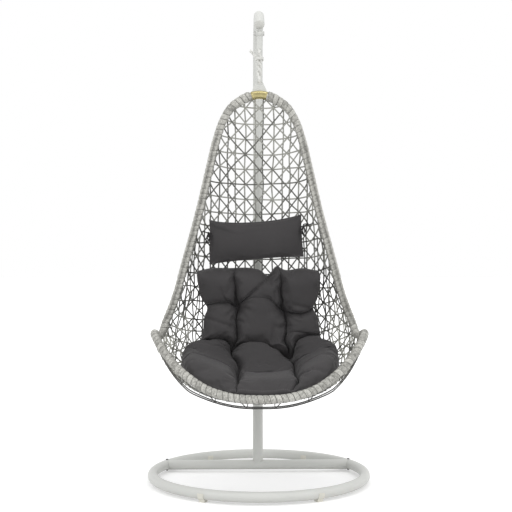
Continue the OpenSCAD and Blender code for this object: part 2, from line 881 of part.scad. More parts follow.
// Length along the net's middle line against the station there, at small steps
net_steps = 66;
function net_v(k) = mix(net_first, net_last, k / net_steps);
net_lengths = [for (
    k = 0, run = 0;
    k <= net_steps;
    run = run + norm(middle_at(net_v(k + 1)) - middle_at(net_v(k))), k = k + 1
) [run, net_v(k)]];

// Station at a share of the way down the net's middle line
function row_v(q) = lookup(q * net_lengths[net_steps][0], net_lengths);

// Net of bars, plain and straight where the real strands cross each other as stars
module wicker_basket() {
    edges = [for (q = down) net_edge(row_v(q))];
    function grid(h) = [for (j = [0 : len(down) - 1], u = across)
        from_net(mix(-edges[j], edges[j], u), row_v(down[j]), h)];
    color([0.50, 0.50, 0.49])
        barred_sheet(grid(net_t / 2), grid(-net_t / 2), len(across), len(down), 1, 2);
}

// ---- cushions ----

// Swell of a cushion: 1 in the middle, 0 at the border, at s and t from -1 to 1
function swell(s, t, ps, pt) = sqrt(max(0, (1 - pow(abs(s), ps)) * (1 - pow(abs(t), pt))));

pad_air = net_t / 2 + 2.8;   // air between the net's middle surface and a cushion

// Angle on the net whose point h above the net lies at x
function angle_for(x, v, h, a, n = 4) =
    n == 0 ? a
    : let (off = x - from_net(a, v, h)[0], half = frame_at(v)[0])
      angle_for(x, v, h, asin(max(-0.985, min(0.985, sin(a) + 0.8 * off / half))), n - 1);

// Point of a cushion at x and v, h above the net
function over_net(x, v, h) =
    from_net(angle_for(x, v, h, asin(x / (frame_at(v)[0] * 1.1))), v, h);

seat_top_v = 8.05;
seat_front_v = 17.7;
seat_nu = 19;
seat_nv = 35;
seat_seam = 0.40;            // height of the cushion's seam, as a share of its thickness

// Half width of the seat cushion along the net, as a share of the widest part
seat_plan = [
    [8.05, 0.66], [8.2, 0.74], [8.6, 0.755], [9.2, 0.74], [10, 0.80], [11, 0.92], [12, 0.985],
    [13, 1], [14, 0.98],
    [15, 0.915], [16, 0.78], [17, 0.56], [17.7, 0.36]
];

// Sewn tufts of the seat cushion: place across as a share of the half width, place along, depth
tufts = [[-0.36, 9.02], [0.38, 9.15], [-0.32, 10.75], [0.33, 10.85]];
tuft_depth = 0.62;
channel_depth = 0.30;

function dent(d, reach) = exp(-d * d / (reach * reach));
function tuft_dents(s, v) =
    max([for (q = tufts) dent(norm([(s - q[0]) * 1.6, (v - q[1]) * 0.75]), 0.3)]);

// 0 before a, 1 after b
function ramp(x, a, b) = max(0, min(1, (x - a) / (b - a)));

// Upright channels through the tufts, a crease between seat and back, and seams down the front
function channels(s, v) = max(
    dent(abs(s) - 0.35, 0.09) * ramp(v, 12.5, 11.5),
    dent((v - 10.8) * 0.7, 0.22),
    dent((v - 9.1) * 0.7, 0.18) * mix(0.3, 1, ramp(abs(s), 0.15, 0.45)),
    dent(abs(s) - 0.45, 0.1) * ramp(v, 14.2, 15.4) * 0.8
);

module seat_cushion() {
    function s_at(i) = sin(90 * (2 * i / (seat_nu - 1) - 1));
    function q_at(j) = let (q = 2 * j / (seat_nv - 1) - 1) mix(q, sin(90 * q), 0.6);
    function v_at(j) = mix(seat_top_v, seat_front_v, (q_at(j) + 1) / 2);
    function half_at(v) = seat_w / 2 * lookup(v, seat_plan);
    function thick(s, v) =
        seat_t * (1 - tuft_depth * tuft_dents(s, v)) * (1 - channel_depth * channels(s, v));
    seam = seat_seam * seat_t;
    top = [for (j = [0 : seat_nv - 1], i = [0 : seat_nu - 1])
        let (s = s_at(i), v = v_at(j), c = swell(s, q_at(j), 4, 10))
        over_net(s * half_at(v), v, pad_air + mix(seam, max(seam * 0.9, thick(s, v)), c))];
    bottom = [for (j = [0 : seat_nv - 1], i = [0 : seat_nu - 1])
        let (s = s_at(i), v = v_at(j), c = swell(s, q_at(j), 6, 12))
        over_net(s * half_at(v), v, pad_air + seam * (1 - c))];
    color([0.27, 0.26, 0.265])
        pad(top, bottom, seat_nu, seat_nv);
}

pillow_v = 7.42;
pillow_x = -8;
pillow_tilt = 0.078;
pillow_sag = 0.10;           // how far the pillow's ends lie down the net's slope, along the net
pillow_nu = 17;
pillow_nv = 15;
pillow_dv = pillow_h / norm(middle_station(8) - middle_station(7));
pillow_bridge = 22;          // air behind the pillow's middle, where it spans the net's hollow
pillow_seam = 0.45;          // height of the pillow's seam, as a share of its thickness

// The sides between the corners are drawn in
function pillow_pinch(t) = 1 - 0.05 * (1 - t * t);

// Station along the net of the pillow's point at s across and t along
function pillow_station(s, t) =
    pillow_v + t * pillow_dv / 2 - s * pillow_tilt + pillow_sag * (s * s - 0.5);

function pillow_at(s, t, h) =
    over_net(pillow_x + s * pillow_w / 2, pillow_station(s, t),
        pad_air + pillow_bridge * max(0, 1 - s * s) + h);

module head_pillow() {
    function s_at(i) = sin(90 * (2 * i / (pillow_nu - 1) - 1));
    function t_at(j) = sin(90 * (2 * j / (pillow_nv - 1) - 1));
    seam = pillow_t * pillow_seam;
    top = [for (j = [0 : pillow_nv - 1], i = [0 : pillow_nu - 1])
        let (s = s_at(i), t = t_at(j), c = swell(s, t, 4, 3))
        pillow_at(s * pillow_pinch(t), t * pillow_pinch(s), mix(seam, pillow_t, c))];
    bottom = [for (j = [0 : pillow_nv - 1], i = [0 : pillow_nu - 1])
        let (s = s_at(i), t = t_at(j), c = swell(s, t, 4, 3))
        pillow_at(s * pillow_pinch(t), t * pillow_pinch(s), seam * (1 - c))];
    color([0.25, 0.24, 0.245])
        pad(top, bottom, pillow_nu, pillow_nv);
}

// Ribbon from each upper end of the pillow to the net's second upright bar
tie_t = -0.6;                // where the ribbons are sewn on, as a share of the pillow's half height
tie_bar = across[2] + (across[3] - across[2]) / 2;
module pillow_ties() {
    start = pillow_pinch(tie_t) + (tie_d / 2 + 0.2) / (pillow_w / 2);
    color([0.1, 0.1, 0.1])
        for (side = [-1, 1])
            let (
                v = pillow_station(side, tie_t),
                sewn = pillow_at(side * start, tie_t, pillow_seam * pillow_t),
                held = from_net(side * net_edge(v) * (1 - 2 * tie_bar), v, net_t / 2 + tie_d / 4)
            )
            solid_sweep([for (k = [0 : 4]) mix(sewn, held, k / 4)], tie_d / 2, 6, [0, ring_d, ring_d]);
}

base_front_arc();
base_rear_arc();
arc_spigots();
arc_bolts();
arc_nuts();
cross_bar();
post_stub();
ring_feet();
lower_post();
upper_post();
post_screws();
post_nuts();
crook_end_cap();
hanger_lug();
lug_bolt();
lug_nut();
hanger_strap();
hanging_rope();
rope_seizing();
crown_lug();
crown_sleeve();
frame_loop();
frame_wrap();
wicker_basket();
seat_cushion();
head_pillow();
pillow_ties();
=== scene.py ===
# %% [markdown]
# # A hanging egg chair
# A wicker basket with cushions hangs on a short doubled rope from the crook of a
# steel post, and the post stands on a round floor ring. The rigid steel parts come
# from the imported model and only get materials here. Everything soft or woven is
# made in this file, in metres, and rides on the body that carries it.

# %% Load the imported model
import json
import math
import random
from bisect import bisect_right
from functools import lru_cache
from itertools import count

import bmesh
import bpy
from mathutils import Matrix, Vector, noise


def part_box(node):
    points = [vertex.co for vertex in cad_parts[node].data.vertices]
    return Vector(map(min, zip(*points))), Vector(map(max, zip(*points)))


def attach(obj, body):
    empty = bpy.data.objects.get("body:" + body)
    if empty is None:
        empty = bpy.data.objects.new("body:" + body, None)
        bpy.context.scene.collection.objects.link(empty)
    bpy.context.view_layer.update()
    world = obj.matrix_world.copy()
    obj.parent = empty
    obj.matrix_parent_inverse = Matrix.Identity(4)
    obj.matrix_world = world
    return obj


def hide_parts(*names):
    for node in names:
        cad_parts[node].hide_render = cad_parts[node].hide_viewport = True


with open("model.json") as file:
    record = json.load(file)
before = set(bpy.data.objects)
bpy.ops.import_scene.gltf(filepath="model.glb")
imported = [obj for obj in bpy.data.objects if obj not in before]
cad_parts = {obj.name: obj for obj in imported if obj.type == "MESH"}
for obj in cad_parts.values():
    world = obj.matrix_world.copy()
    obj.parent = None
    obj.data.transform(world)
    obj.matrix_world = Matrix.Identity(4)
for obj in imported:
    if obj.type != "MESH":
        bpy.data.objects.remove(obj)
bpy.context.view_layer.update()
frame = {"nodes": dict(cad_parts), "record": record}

# %% [markdown]
# ## Camera
# A long lens, level, at the height of the basket's middle keeps the post upright.
# The lens is given for a square picture 36 mm wide.

# %% Camera
CAMERA_AT = (-0.10, -4.458, 0.944)
CAMERA_YAW = -1.134
LENS = 74.53
camera_data = bpy.data.cameras.new("camera")
camera_data.lens = LENS
camera_data.sensor_width = 36
camera_data.sensor_fit = "HORIZONTAL"
camera = bpy.data.objects.new("camera", camera_data)
camera.location = CAMERA_AT
camera.rotation_euler = (math.radians(90), 0, math.radians(CAMERA_YAW))
bpy.context.scene.collection.objects.link(camera)
bpy.context.scene.camera = camera
bpy.context.scene.view_settings.view_transform = "Standard"

# %% [markdown]
# ## Shader sums as Python expressions
# A material is a net of small nodes. Wiring each sum by hand is slow to read, so one
# small class wraps a node's output and turns + - and * into Math nodes. Every other
# node comes from one method, which sets the node up before it links it.

# %% Sockets with operators
class Val:
    """A node's output, in sums as if it were a number."""

    def __init__(self, tree, socket):
        self.tree, self.socket = tree, socket

    def math(self, operation, *others):
        return self.node("Math", {"operation": operation}, dict(enumerate((self, *others))))

    def node(self, kind, settings=None, inputs=None, out=0):
        made = self.tree.nodes.new("ShaderNode" + kind)
        for key, value in (settings or {}).items():
            setattr(made, key, value)
        for key, value in (inputs or {}).items():
            socket = made.inputs[key]
            if isinstance(value, Val):
                self.tree.links.new(value.socket, socket)
            else:
                socket.default_value = value
        return Val(self.tree, made.outputs[out])

    def __add__(self, other): return self.math("ADD", other)
    def __sub__(self, other): return self.math("SUBTRACT", other)
    def __rsub__(self, other): return self * -1.0 + other
    def __mul__(self, other): return self.math("MULTIPLY", other)
    def __rmul__(self, other): return self.math("MULTIPLY", other)

    def noise(self, scale, detail, **more):
        return self.node("TexNoise", {}, {"Vector": self, "Scale": scale, "Detail": detail, **more})

    def parts(self):
        """The three numbers of a vector."""
        made = self.node("SeparateXYZ", {}, {0: self}).socket.node
        return [Val(self.tree, part) for part in made.outputs]

    def between(self, low, high):
        """0 below low, 1 above high, smooth in the middle."""
        return self.node("MapRange", {"interpolation_type": "SMOOTHSTEP"},
                         {"Value": self, "From Min": low, "From Max": high})

    def mix(self, first, second):
        """The colour first where this is 0, second where it is 1."""
        first, second = [c if isinstance(c, Val) else (*c, 1) for c in (first, second)]
        return self.node("Mix", {"data_type": "RGBA"}, {0: self, 6: first, 7: second}, out=2)


def srgb(r, g, b):
    """A colour in screen numbers from 0 to 255, as the linear numbers that shaders take."""
    return tuple(((c / 255 + 0.055) / 1.055) ** 2.4 if c > 10 else c / 255 / 12.92 for c in (r, g, b))


def new_material(name, roughness=0.5, metallic=0.0, **constants):
    """A material with a Principled shader, returned with a starting Val and the shader."""
    material = bpy.data.materials.new(name)
    material.use_nodes = True
    tree = material.node_tree
    shader = tree.nodes["Principled BSDF"]
    for key, value in {"Roughness": roughness, "Metallic": metallic, **constants}.items():
        shader.inputs[key.replace("_", " ")].default_value = value
    start = Val(tree, tree.nodes.new("ShaderNodeTexCoord").outputs["Object"])
    return material, start, shader


def feed(shader, name, val):
    val.tree.links.new(val.socket, shader.inputs[name])


def bump(shader, height, strength, distance):
    """Raise the surface by height, in metres times distance."""
    inputs = {"Height": height, "Strength": strength, "Distance": distance}
    feed(shader, "Normal", height.node("Bump", {}, inputs))


# %% [markdown]
# ## Paint, steel, brass and plastic
# The stand is powder coated. Such a coat is never quite even: it has a fine
# orange-peel skin, slightly duller patches and a little dust near the floor. Noise
# at two scales gives this, read from Object coordinates, so it stays put.

# %% Hard materials
def powder_coat(name, colour):
    material, at, shader = new_material(name, 0.42, Coat_Weight=0.08, Coat_Roughness=0.3)
    peel = at.noise(900.0, 2.0)
    patches = at.noise(7.0, 4.0, Roughness=0.6)
    low = 1 - at.parts()[2].between(0.0, 0.06)
    dust = (low * patches).between(0.2, 1.6)
    tone = patches.between(0.3, 0.75).mix([c * 0.96 for c in colour], colour)
    feed(shader, "Base Color", dust.mix(tone, srgb(176, 172, 162)))
    feed(shader, "Roughness", patches * 0.16 + 0.34)
    bump(shader, peel, 0.25, 0.0003)
    return material


def plain_metal(name, colour, roughness, grain):
    material, at, shader = new_material(name, roughness, 1.0)
    lines = at.noise(260.0, 5.0, Roughness=0.7)
    clouds = at.noise(60.0, 3.0)
    feed(shader, "Base Color", clouds.between(0.3, 0.7).mix([c * 0.74 for c in colour], colour))
    feed(shader, "Roughness", lines * 0.3 + (roughness - 0.12))
    bump(shader, lines, grain, 0.0003)
    return material


def plain_plastic(name, colour, roughness):
    material, at, shader = new_material(name, roughness)
    grain = at.noise(700.0, 3.0)
    clouds = at.noise(40.0, 3.0)
    feed(shader, "Base Color", clouds.between(0.3, 0.7).mix([c * 0.88 for c in colour], colour))
    feed(shader, "Roughness", clouds * 0.2 + (roughness - 0.1))
    bump(shader, grain, 0.3, 0.0003)
    return material


FINISHES = {
    "stand_paint": powder_coat("stand powder coat", srgb(210, 211, 207)),
    "inner_steel": plain_metal("inner tube steel", srgb(150, 150, 150), 0.4, 0.2),
    "dark_bolts": plain_metal("blackened bolts", srgb(112, 111, 110), 0.5, 0.2),
    "bright_steel": plain_metal("zinc plated screws", srgb(212, 212, 209), 0.45, 0.2),
    "sleeve_brass": plain_metal("brass sleeve", srgb(184, 173, 126), 0.36, 0.25),
    "foot_plastic": plain_plastic("foot plastic", srgb(226, 224, 214), 0.55),
    "cap_plastic": plain_plastic("cap plastic", srgb(214, 214, 209), 0.5),
}
slot_of = {row["node"]: row["material_slot"] for row in frame["record"]["subparts"]}
for node_name, node_object in frame["nodes"].items():
    if slot_of.get(node_name) in FINISHES:
        for place in node_object.material_slots:
            place.material = FINISHES[slot_of[node_name]]
print("hard finishes:", len(FINISHES))

# %% [markdown]
# ## Light, floor and backdrop
# A pale floor that the camera sees as white keeps the chair's shadow. Big soft
# lamps on both sides and above light the chair at a plain level.

# %% Stage
def seen_rays(tree):
    """1 for rays from the camera, off shiny surfaces and through clear ones."""
    path = tree.nodes.new("ShaderNodeLightPath")
    camera_ray, glossy, clear = [
        Val(tree, path.outputs[f"Is {kind} Ray"]) for kind in ("Camera", "Glossy", "Transmission")]
    return camera_ray.math("MAXIMUM", glossy).math("MAXIMUM", clear)


def floor_material():
    """A matt floor. The light that it lacks far from the lamps is made up for the eye only."""
    material, at, shader = new_material("studio floor", 0.9, Emission_Strength=1.0)
    away = at.node("VectorMath", {"operation": "LENGTH"}, {0: at}, out=1)
    missing = away.between(0.3, 5.0) * 0.40 + 0.28
    feed(shader, "Emission Color", missing * seen_rays(at.tree))
    shader.inputs["Base Color"].default_value = (0.86, 0.86, 0.86, 1)
    return material


def placed(name, mesh, material):
    """A smooth object of this mesh, at the origin."""
    mesh.materials.clear()
    mesh.materials.append(material)
    for polygon in mesh.polygons:
        polygon.use_smooth = True
    piece = bpy.data.objects.new(name, mesh)
    bpy.context.scene.collection.objects.link(piece)
    return piece


def finished(name, bm, material):
    """Turn a bmesh into an object at the origin."""
    mesh = bpy.data.meshes.new(name)
    bm.to_mesh(mesh)
    bm.free()
    return placed(name, mesh, material)


FLOOR_HALF = 40
floor_grid = bmesh.new()
bmesh.ops.create_grid(floor_grid, x_segments=1, y_segments=1, size=FLOOR_HALF)
floor = finished("floor", floor_grid, floor_material())

world = bpy.data.worlds.new("studio")
bpy.context.scene.world = world
world.use_nodes = True
world_tree = world.node_tree
background = world_tree.nodes["Background"]
world_tree.links.new((seen_rays(world_tree) * 0.18 + 0.82).socket, background.inputs["Strength"])
background.inputs["Color"].default_value = (1, 1, 1, 1)


LAMPS_AIM = Vector((0, 0, 0.9))


def lamp(name, place, size, power):
    data = bpy.data.lights.new(name, "AREA")
    data.shape, data.size, data.energy = "DISK", size, power
    made = bpy.data.objects.new(name, data)
    made.location = place
    made.rotation_euler = (LAMPS_AIM - Vector(place)).to_track_quat("-Z", "Y").to_euler()
    bpy.context.scene.collection.objects.link(made)


lamp("key lamp", (-3.0, -3.6, 3.6), 2.4, 46)
lamp("fill lamp", (3.6, -3.2, 2.4), 2.6, 32)
lamp("top lamp", (0.3, -1.2, 7.5), 3.2, 90)

# %% [markdown]
# ## The lines of the basket
# The hoop, the front rim and the net's middle line are the same curves as in the
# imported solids, so the woven pieces land where the solids are. Each curve runs
# through stations, and v counts stations: 0 is the crown, 19 the middle of the rim.

# %% Basket lines
HANG_Y = -0.105
CROWN_Z, EAR_Z = 1.606, 0.630
SHOULDER, BACK, HIP, EAR = 0.174, 0.247, 0.349, 0.426
EAR_Y, HOOP_LEAN = -0.142, 0.040
RIM_Y, RIM_Z = -0.446, 0.400
NET_BACK, BOWL_Z = 0.098, 0.360
SLEEVE_HALF = 0.033
WRAP_IN, WRAP_OUT = 0.0143, 0.0170


def blend_of(a, b, t):
    return a + (b - a) * t


def share(x):
    """x, held between 0 and 1."""
    return min(1, max(0, x))


def hoop_point(half, f):
    return Vector((half, HANG_Y + HOOP_LEAN * (1 - f) ** 2.2, blend_of(EAR_Z, CROWN_Z, f)))


def rim_point(degrees):
    s, c = math.sin(math.radians(degrees)), math.cos(math.radians(degrees))
    return Vector((EAR * s, blend_of(EAR_Y, RIM_Y, c), RIM_Z + (EAR_Z - RIM_Z) * max(s, 0) ** 2.7))


RIGHT = [
    Vector((0, HANG_Y, CROWN_Z)), Vector((SLEEVE_HALF, HANG_Y, CROWN_Z - 0.005)),
    hoop_point(SHOULDER * 0.463, 0.972), hoop_point(SHOULDER * 0.68, 0.941),
    hoop_point(SHOULDER * 0.85, 0.892), hoop_point(SHOULDER, 0.816),
    hoop_point(blend_of(SHOULDER, BACK, 0.45), 0.678), hoop_point(BACK, 0.506),
    hoop_point(blend_of(BACK, HIP, 0.5), 0.318), hoop_point(HIP, 0.137),
    Vector((EAR - 0.036, EAR_Y + 0.082, EAR_Z + 0.030)),
    Vector((EAR - 0.026, EAR_Y + 0.069, EAR_Z - 0.003)),
    Vector((EAR - 0.012, EAR_Y + 0.037, EAR_Z - 0.014)),
    *[rim_point(d) for d in (90, 75, 60, 45, 30, 15, 0)],
]
LAST = len(RIGHT) - 1
ROUND = RIGHT + [Vector((-p.x, p.y, p.z)) for p in RIGHT[LAST - 1:0:-1]]
PROFILE = [
    (0, 0), (0.634, 0.9937), (0.642, 0.9715), (0.650, 0.940), (0.668, 0.8987), (0.716, 0.837),
    (0.808, 0.728), (0.906, 0.593), (0.977, 0.4415), (1.0, 0.295), (0.974, 0.184), (0.914, 0.108),
    (0.827, 0.0525), (0.695, 0.0178), (0.545, 0.0024), (0.385, 0), (0.244, 0.005), (0.128, 0.0165),
    (0.041, 0.0285), (0, 0),
]


def bend(p0, p1, p2, p3, t):
    """Smooth curve through p1 and p2, its tangents scaled by the stretches' lengths."""
    a, b, c = (p1 - p0).length + 1e-6, (p2 - p1).length + 1e-6, (p3 - p2).length + 1e-6
    m1 = ((p1 - p0) / a * b + (p2 - p1) / b * a) / (a + b) * b
    m2 = ((p2 - p1) / b * c + (p3 - p2) / c * b) / (b + c) * b
    t2, t3 = t * t, t * t * t
    return p1 * (2 * t3 - 3 * t2 + 1) + m1 * (t3 - 2 * t2 + t) + p2 * (3 * t2 - 2 * t3) + m2 * (t3 - t2)


@lru_cache(maxsize=None)
def frame_at(v):
    i, n = math.floor(v), len(ROUND)
    return bend(ROUND[(i - 1) % n], ROUND[i % n], ROUND[(i + 1) % n], ROUND[(i + 2) % n], v - i)


def middle_station(i):
    if i <= 0 or i >= LAST:
        return RIGHT[0 if i <= 0 else LAST]
    depth, height = PROFILE[i]
    return Vector((0, blend_of(RIM_Y, NET_BACK, depth), blend_of(BOWL_Z, CROWN_Z, height)))


@lru_cache(maxsize=None)
def middle_at(v):
    i = math.floor(v)
    return bend(*[middle_station(i + k) for k in (-1, 0, 1, 2)], v - i)


def net_at(a, v):
    """The net at angle a from the middle, on the line across it at v."""
    side, mid, s, c = frame_at(v), middle_at(v), math.sin(a), math.cos(a)
    return Vector((side.x * s, blend_of(side.y, mid.y, c), blend_of(side.z, mid.z, c)))


BASKET_MIDDLE = Vector((0, -0.166, 0.831))


def net_normal(a, v):
    """Square to the net, towards the sitter."""
    n = (net_at(a + 0.009, v) - net_at(a - 0.009, v)).cross(net_at(a, v + 0.02) - net_at(a, v - 0.02))
    n.normalize()
    return n if n.dot(BASKET_MIDDLE - net_at(a, v)) > 0 else -n


def run_lengths(points):
    """The way from the first point to each of them."""
    lengths = [0.0]
    for p, q in zip(points, points[1:]):
        lengths.append(lengths[-1] + (q - p).length)
    return lengths


frame_steps = [frame_at(k / 8) for k in range(8 * len(ROUND) + 1)]
print("frame runs", round(run_lengths(frame_steps)[-1], 3), "m")

# %% [markdown]
# ## The winding on hoop and rim
# A flat wicker strip is wound tightly round the steel tube. It could be a bump
# pattern, but the edge of the rim would then stay smooth. Instead a long grid is
# laid along the helix, with a crowned section, and its neighbouring turns are merged
# into one skin. Beside the sleeve the winding lies over several layers and is thicker.

# %% Winding
def even_points(v0, v1, step):
    """Points every step along the frame's centre line, from v0 to v1."""
    dense = [frame_at(v0 + (v1 - v0) * k / 1200) for k in range(1201)]
    lengths = run_lengths(dense)
    steps = round(lengths[-1] / step)
    points, j = [], 0
    for k in range(steps + 1):
        want = lengths[-1] * k / steps
        while j < len(dense) - 2 and lengths[j + 1] < want:
            j += 1
        t = (want - lengths[j]) / (lengths[j + 1] - lengths[j])
        points.append(dense[j].lerp(dense[j + 1], t))
    return points


PITCH, AROUND = 0.0225, 18
STRIP_EDGE, STRIP_UNEVEN = 0.0004, 0.00035
UNDER_SLEEVE, SLEEVE_STEP, CROWN_BANDS, CROWN_SWELL = 0.022, 0.005, 0.13, 0.24
CROWN_STEPS = (0.0, 0.16, 0.5, 0.84, 1.0)
CROWN_RISE = (0.0, 0.8, 1.0, 0.8, 0.0)


def path_frames(points):
    """At each point: place, direction away from the basket's middle, and sideways."""
    frames = []
    for i, p in enumerate(points):
        t = (points[min(i + 1, len(points) - 1)] - points[max(i - 1, 0)]).normalized()
        side = t.cross(p - BASKET_MIDDLE).normalized()
        frames.append((p, side.cross(t), side))
    return frames


def winding(name, v0, v1, material):
    """One strip wound round the frame from v0 to v1, with its turns in the UV map."""
    route = path_frames(even_points(v0, v1, PITCH / 4))
    turns = (len(route) - 1) // 4 - 1
    rng = random.Random(7)
    lift = [rng.uniform(-STRIP_UNEVEN, STRIP_UNEVEN) for _ in range(turns + 2)]
    bm = bmesh.new()
    bmesh.ops.create_grid(bm, x_segments=turns * AROUND, y_segments=len(CROWN_STEPS) - 1, size=0.5)
    uv_layer = bm.loops.layers.uv.new("along")
    places = {}
    for vert in bm.verts:
        k = round((vert.co.x + 0.5) * turns * AROUND)
        row = round((vert.co.y + 0.5) * (len(CROWN_STEPS) - 1))
        places[vert] = (k / AROUND, CROWN_STEPS[row], CROWN_RISE[row])
    for vert, (turn, w, rise) in places.items():
        s = (turn + w) * 4
        i = min(int(s), len(route) - 2)
        (p, up, side), (q, up2, side2) = route[i], route[i + 1]
        f = s - i
        angle = 2 * math.pi * turn
        crown = WRAP_OUT - WRAP_IN - STRIP_EDGE + lift[int(turn)] * rise
        radius = WRAP_IN + STRIP_EDGE + rise * crown
        clear = min(turn + w, turns + 1 - turn - w) * PITCH - UNDER_SLEEVE
        radius *= 1 + CROWN_SWELL * share(1 - (clear / CROWN_BANDS) ** 2)
        radius = blend_of(WRAP_IN, radius, share(clear / SLEEVE_STEP))
        outward = up.lerp(up2, f) * math.cos(angle) + side.lerp(side2, f) * math.sin(angle)
        vert.co = p.lerp(q, f) + outward * radius
    for face in bm.faces:
        for loop in face.loops:
            turn, w, _ = places[loop.vert]
            loop[uv_layer].uv = (turn, w)
    bmesh.ops.remove_doubles(bm, verts=bm.verts, dist=0.00002)
    bmesh.ops.recalc_face_normals(bm, faces=bm.faces)
    return finished(name, bm, material)


def wicker_material(name, light, dark, groove_shade):
    """Flat strip: fine ribs with painted shade in the grooves between them, painted shade in the
    gap at both edges, and a tone that changes turn by turn.

    On the upright hoop painted highlight and shade run in lanes along the tube, on the rim the
    tone runs in bands across it."""
    material, at, shader = new_material(name, 0.5)
    turn, across, _ = at.node("UVMap", {"uv_map": "along"}).parts()
    line = {"noise_dimensions": "1D"}
    shade = at.node("TexNoise", line, {"W": turn * 1.7, "Scale": 1.0, "Detail": 1.0})
    height = at.parts()[2]
    hoop = height.between(0.60, 0.72) * (1 - height.between(1.42, 1.50))
    row = (turn * 31.7).math("FLOOR")
    fibre_at = at.node("CombineXYZ", {}, {0: turn * 9.0, 1: across * 11.0 + row})
    fibres = fibre_at.noise(1.0, 3.0, Roughness=0.75)
    blots = at.noise(110.0, 4.0, Roughness=0.75)
    loose = at.node("TexWhiteNoise", line, {"W": turn.math("FLOOR")})
    # Painted shade: at the strip's edges the gap colour stands for the shade in the grooves between
    # turns.
    inside = (across.math("PINGPONG", 0.5) - loose.between(0.5, 0.8) * 0.04).between(0.0, 0.09)
    # Painted shade: the colour is darker in the fine grooves between the ribs.
    ribs = (across * 4.0).math("PINGPONG", 0.5).between(0.0, 0.26)
    # Painted highlight and shade: lanes along the hoop's tube, lighter and darker by the angle round
    # it.
    painted_light_lanes = (turn * 4.0).math("PINGPONG", 0.5) * 2.0
    bands = (loose * 0.14 + 0.19) * (1 - hoop) + painted_light_lanes * hoop * 0.32 + hoop * 0.08
    tone = (shade * 0.15 + fibres * 1.1 + blots * 0.6 + bands - 0.7).between(0.22, 0.72)
    strip = (ribs * 0.5 + 0.5).mix(dark, tone.mix(dark, light))
    covered = inside * (0.85 - hoop * 0.2) + 0.15 * blots + hoop * 0.12
    feed(shader, "Base Color", covered.mix(groove_shade, strip))
    feed(shader, "Roughness", blots * 0.3 + 0.36)
    bump(shader, ribs * 0.5 + inside + blots * 0.3, 0.6, 0.0006)
    return material


# The third colour is painted shade for the grooves between the turns.
frame_wicker = wicker_material(
    "wound wicker strip", srgb(226, 225, 218), srgb(106, 105, 100), srgb(92, 91, 86))
frame_winding = winding("frame_winding", 0.24, 37.76, frame_wicker)
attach(frame_winding, "basket")
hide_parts("frame_wrap")
print("winding:", len(frame_winding.data.polygons), "faces")

# %% [markdown]
# ## The woven net
# The net is laid out flat first: s runs across it from the middle and h runs down
# its middle line. Uprights, cross strands and two slants meet in stars, and the
# gaps between them are the round holes. Each strand is a curve on the net's
# surface, a little above or below it, so that strands pass over each other.

# %% Net layout
V_STEP, A_STEPS = 0.05, 36


def look_up(table, values, x):
    """The value at x, between the rows of a table that rises."""
    if x <= table[0]:
        return values[0]
    if x >= table[-1]:
        return values[-1]
    i = bisect_right(table, x)
    t = (x - table[i - 1]) / (table[i] - table[i - 1])
    return blend_of(values[i - 1], values[i], t)


V_ROWS = [k * V_STEP for k in range(int(LAST / V_STEP) + 1)]
DOWN = run_lengths([middle_at(v) for v in V_ROWS])
ANGLES = [math.pi / 2 * k / A_STEPS for k in range(A_STEPS + 1)]
ACROSS = [run_lengths([net_at(a, v) for a in ANGLES]) for v in V_ROWS]


def net_angle(s, v):
    """The angle at which the net is s from its middle, or None where the net ends before s."""
    row = min(int(v / V_STEP), len(V_ROWS) - 2)
    t = v / V_STEP - row
    reach = blend_of(ACROSS[row][-1], ACROSS[row + 1][-1], t)
    if abs(s) >= reach:
        return None
    a = blend_of(look_up(ACROSS[row], ANGLES, abs(s)), look_up(ACROSS[row + 1], ANGLES, abs(s)), t)
    return math.copysign(a, s)


def v_down(h):
    return look_up(DOWN, V_ROWS, h)


print("net is", round(DOWN[-1], 3), "m long, half width at v 10:", round(ACROSS[200][-1], 3))

# %% Net strands
COLUMN, ROW, HOLE_HALF = 0.115, 0.065, 0.016
SLANT = COLUMN / (2 * ROW)
STRAND_R = 0.0030
THIN_R = STRAND_R * 0.85
STRAND_TOP, NET_TOP, NET_END = 0.008, 0.055, DOWN[-1] - 0.004
SIDE_TOP, STEEP_TOP, STEEP_END, STEEP_OUT = 0.62, 0.85, 1.35, 0.09
UPRIGHT_LIFT, SIDE_LIFT, STEEP_LIFT = -0.0018, -0.0026, 0.0032
SLANT_LIFT, WAY_LIFT = 0.0018, 0.0006
CROSS_STEP, DARK_SHARE = 0.014, 0.3


def strand_points(route, lift, seed):
    """Runs of points on the net for a route of (s, h) pairs; a run ends at the frame."""
    runs, run = [], []
    for k, (s, h) in enumerate(route):
        loose = 0.006 + 0.11 * s * s
        aside, along = [noise.noise(Vector((s * 9, h * 9, seed + far))) * loose for far in (0, 50.5)]
        v = v_down(min(max(h + along, 0.02), DOWN[-1] - 0.001))
        a = net_angle(s + aside, v)
        if a is None:
            if len(run) > 2:
                runs.append(run)
            run = []
            continue
        wave = lift + 0.0006 * math.sin(k * 1.7 + seed)
        run.append(net_at(a, v) + net_normal(a, v) * wave)
    if len(run) > 2:
        runs.append(run)
    return runs


def tubes(name, runs, material, sides_level=1):
    """One mesh of round strands. A run is a list of points with one radius, or with a list of them."""
    curve = bpy.data.curves.new(name, "CURVE")
    curve.dimensions = "3D"
    curve.bevel_depth = 1.0
    curve.bevel_resolution = sides_level
    curve.use_fill_caps = True
    for points, radius in runs:
        spline = curve.splines.new("POLY")
        spline.points.add(len(points) - 1)
        for k, (target, p) in enumerate(zip(spline.points, points)):
            target.co = (*p, 1)
            target.radius = radius[k] if isinstance(radius, list) else radius
    holder = bpy.data.objects.new(name + "_curve", curve)
    bpy.context.scene.collection.objects.link(holder)
    mesh = bpy.data.meshes.new_from_object(holder.evaluated_get(bpy.context.evaluated_depsgraph_get()))
    bpy.data.objects.remove(holder)
    mesh.name = name
    return placed(name, mesh, material)


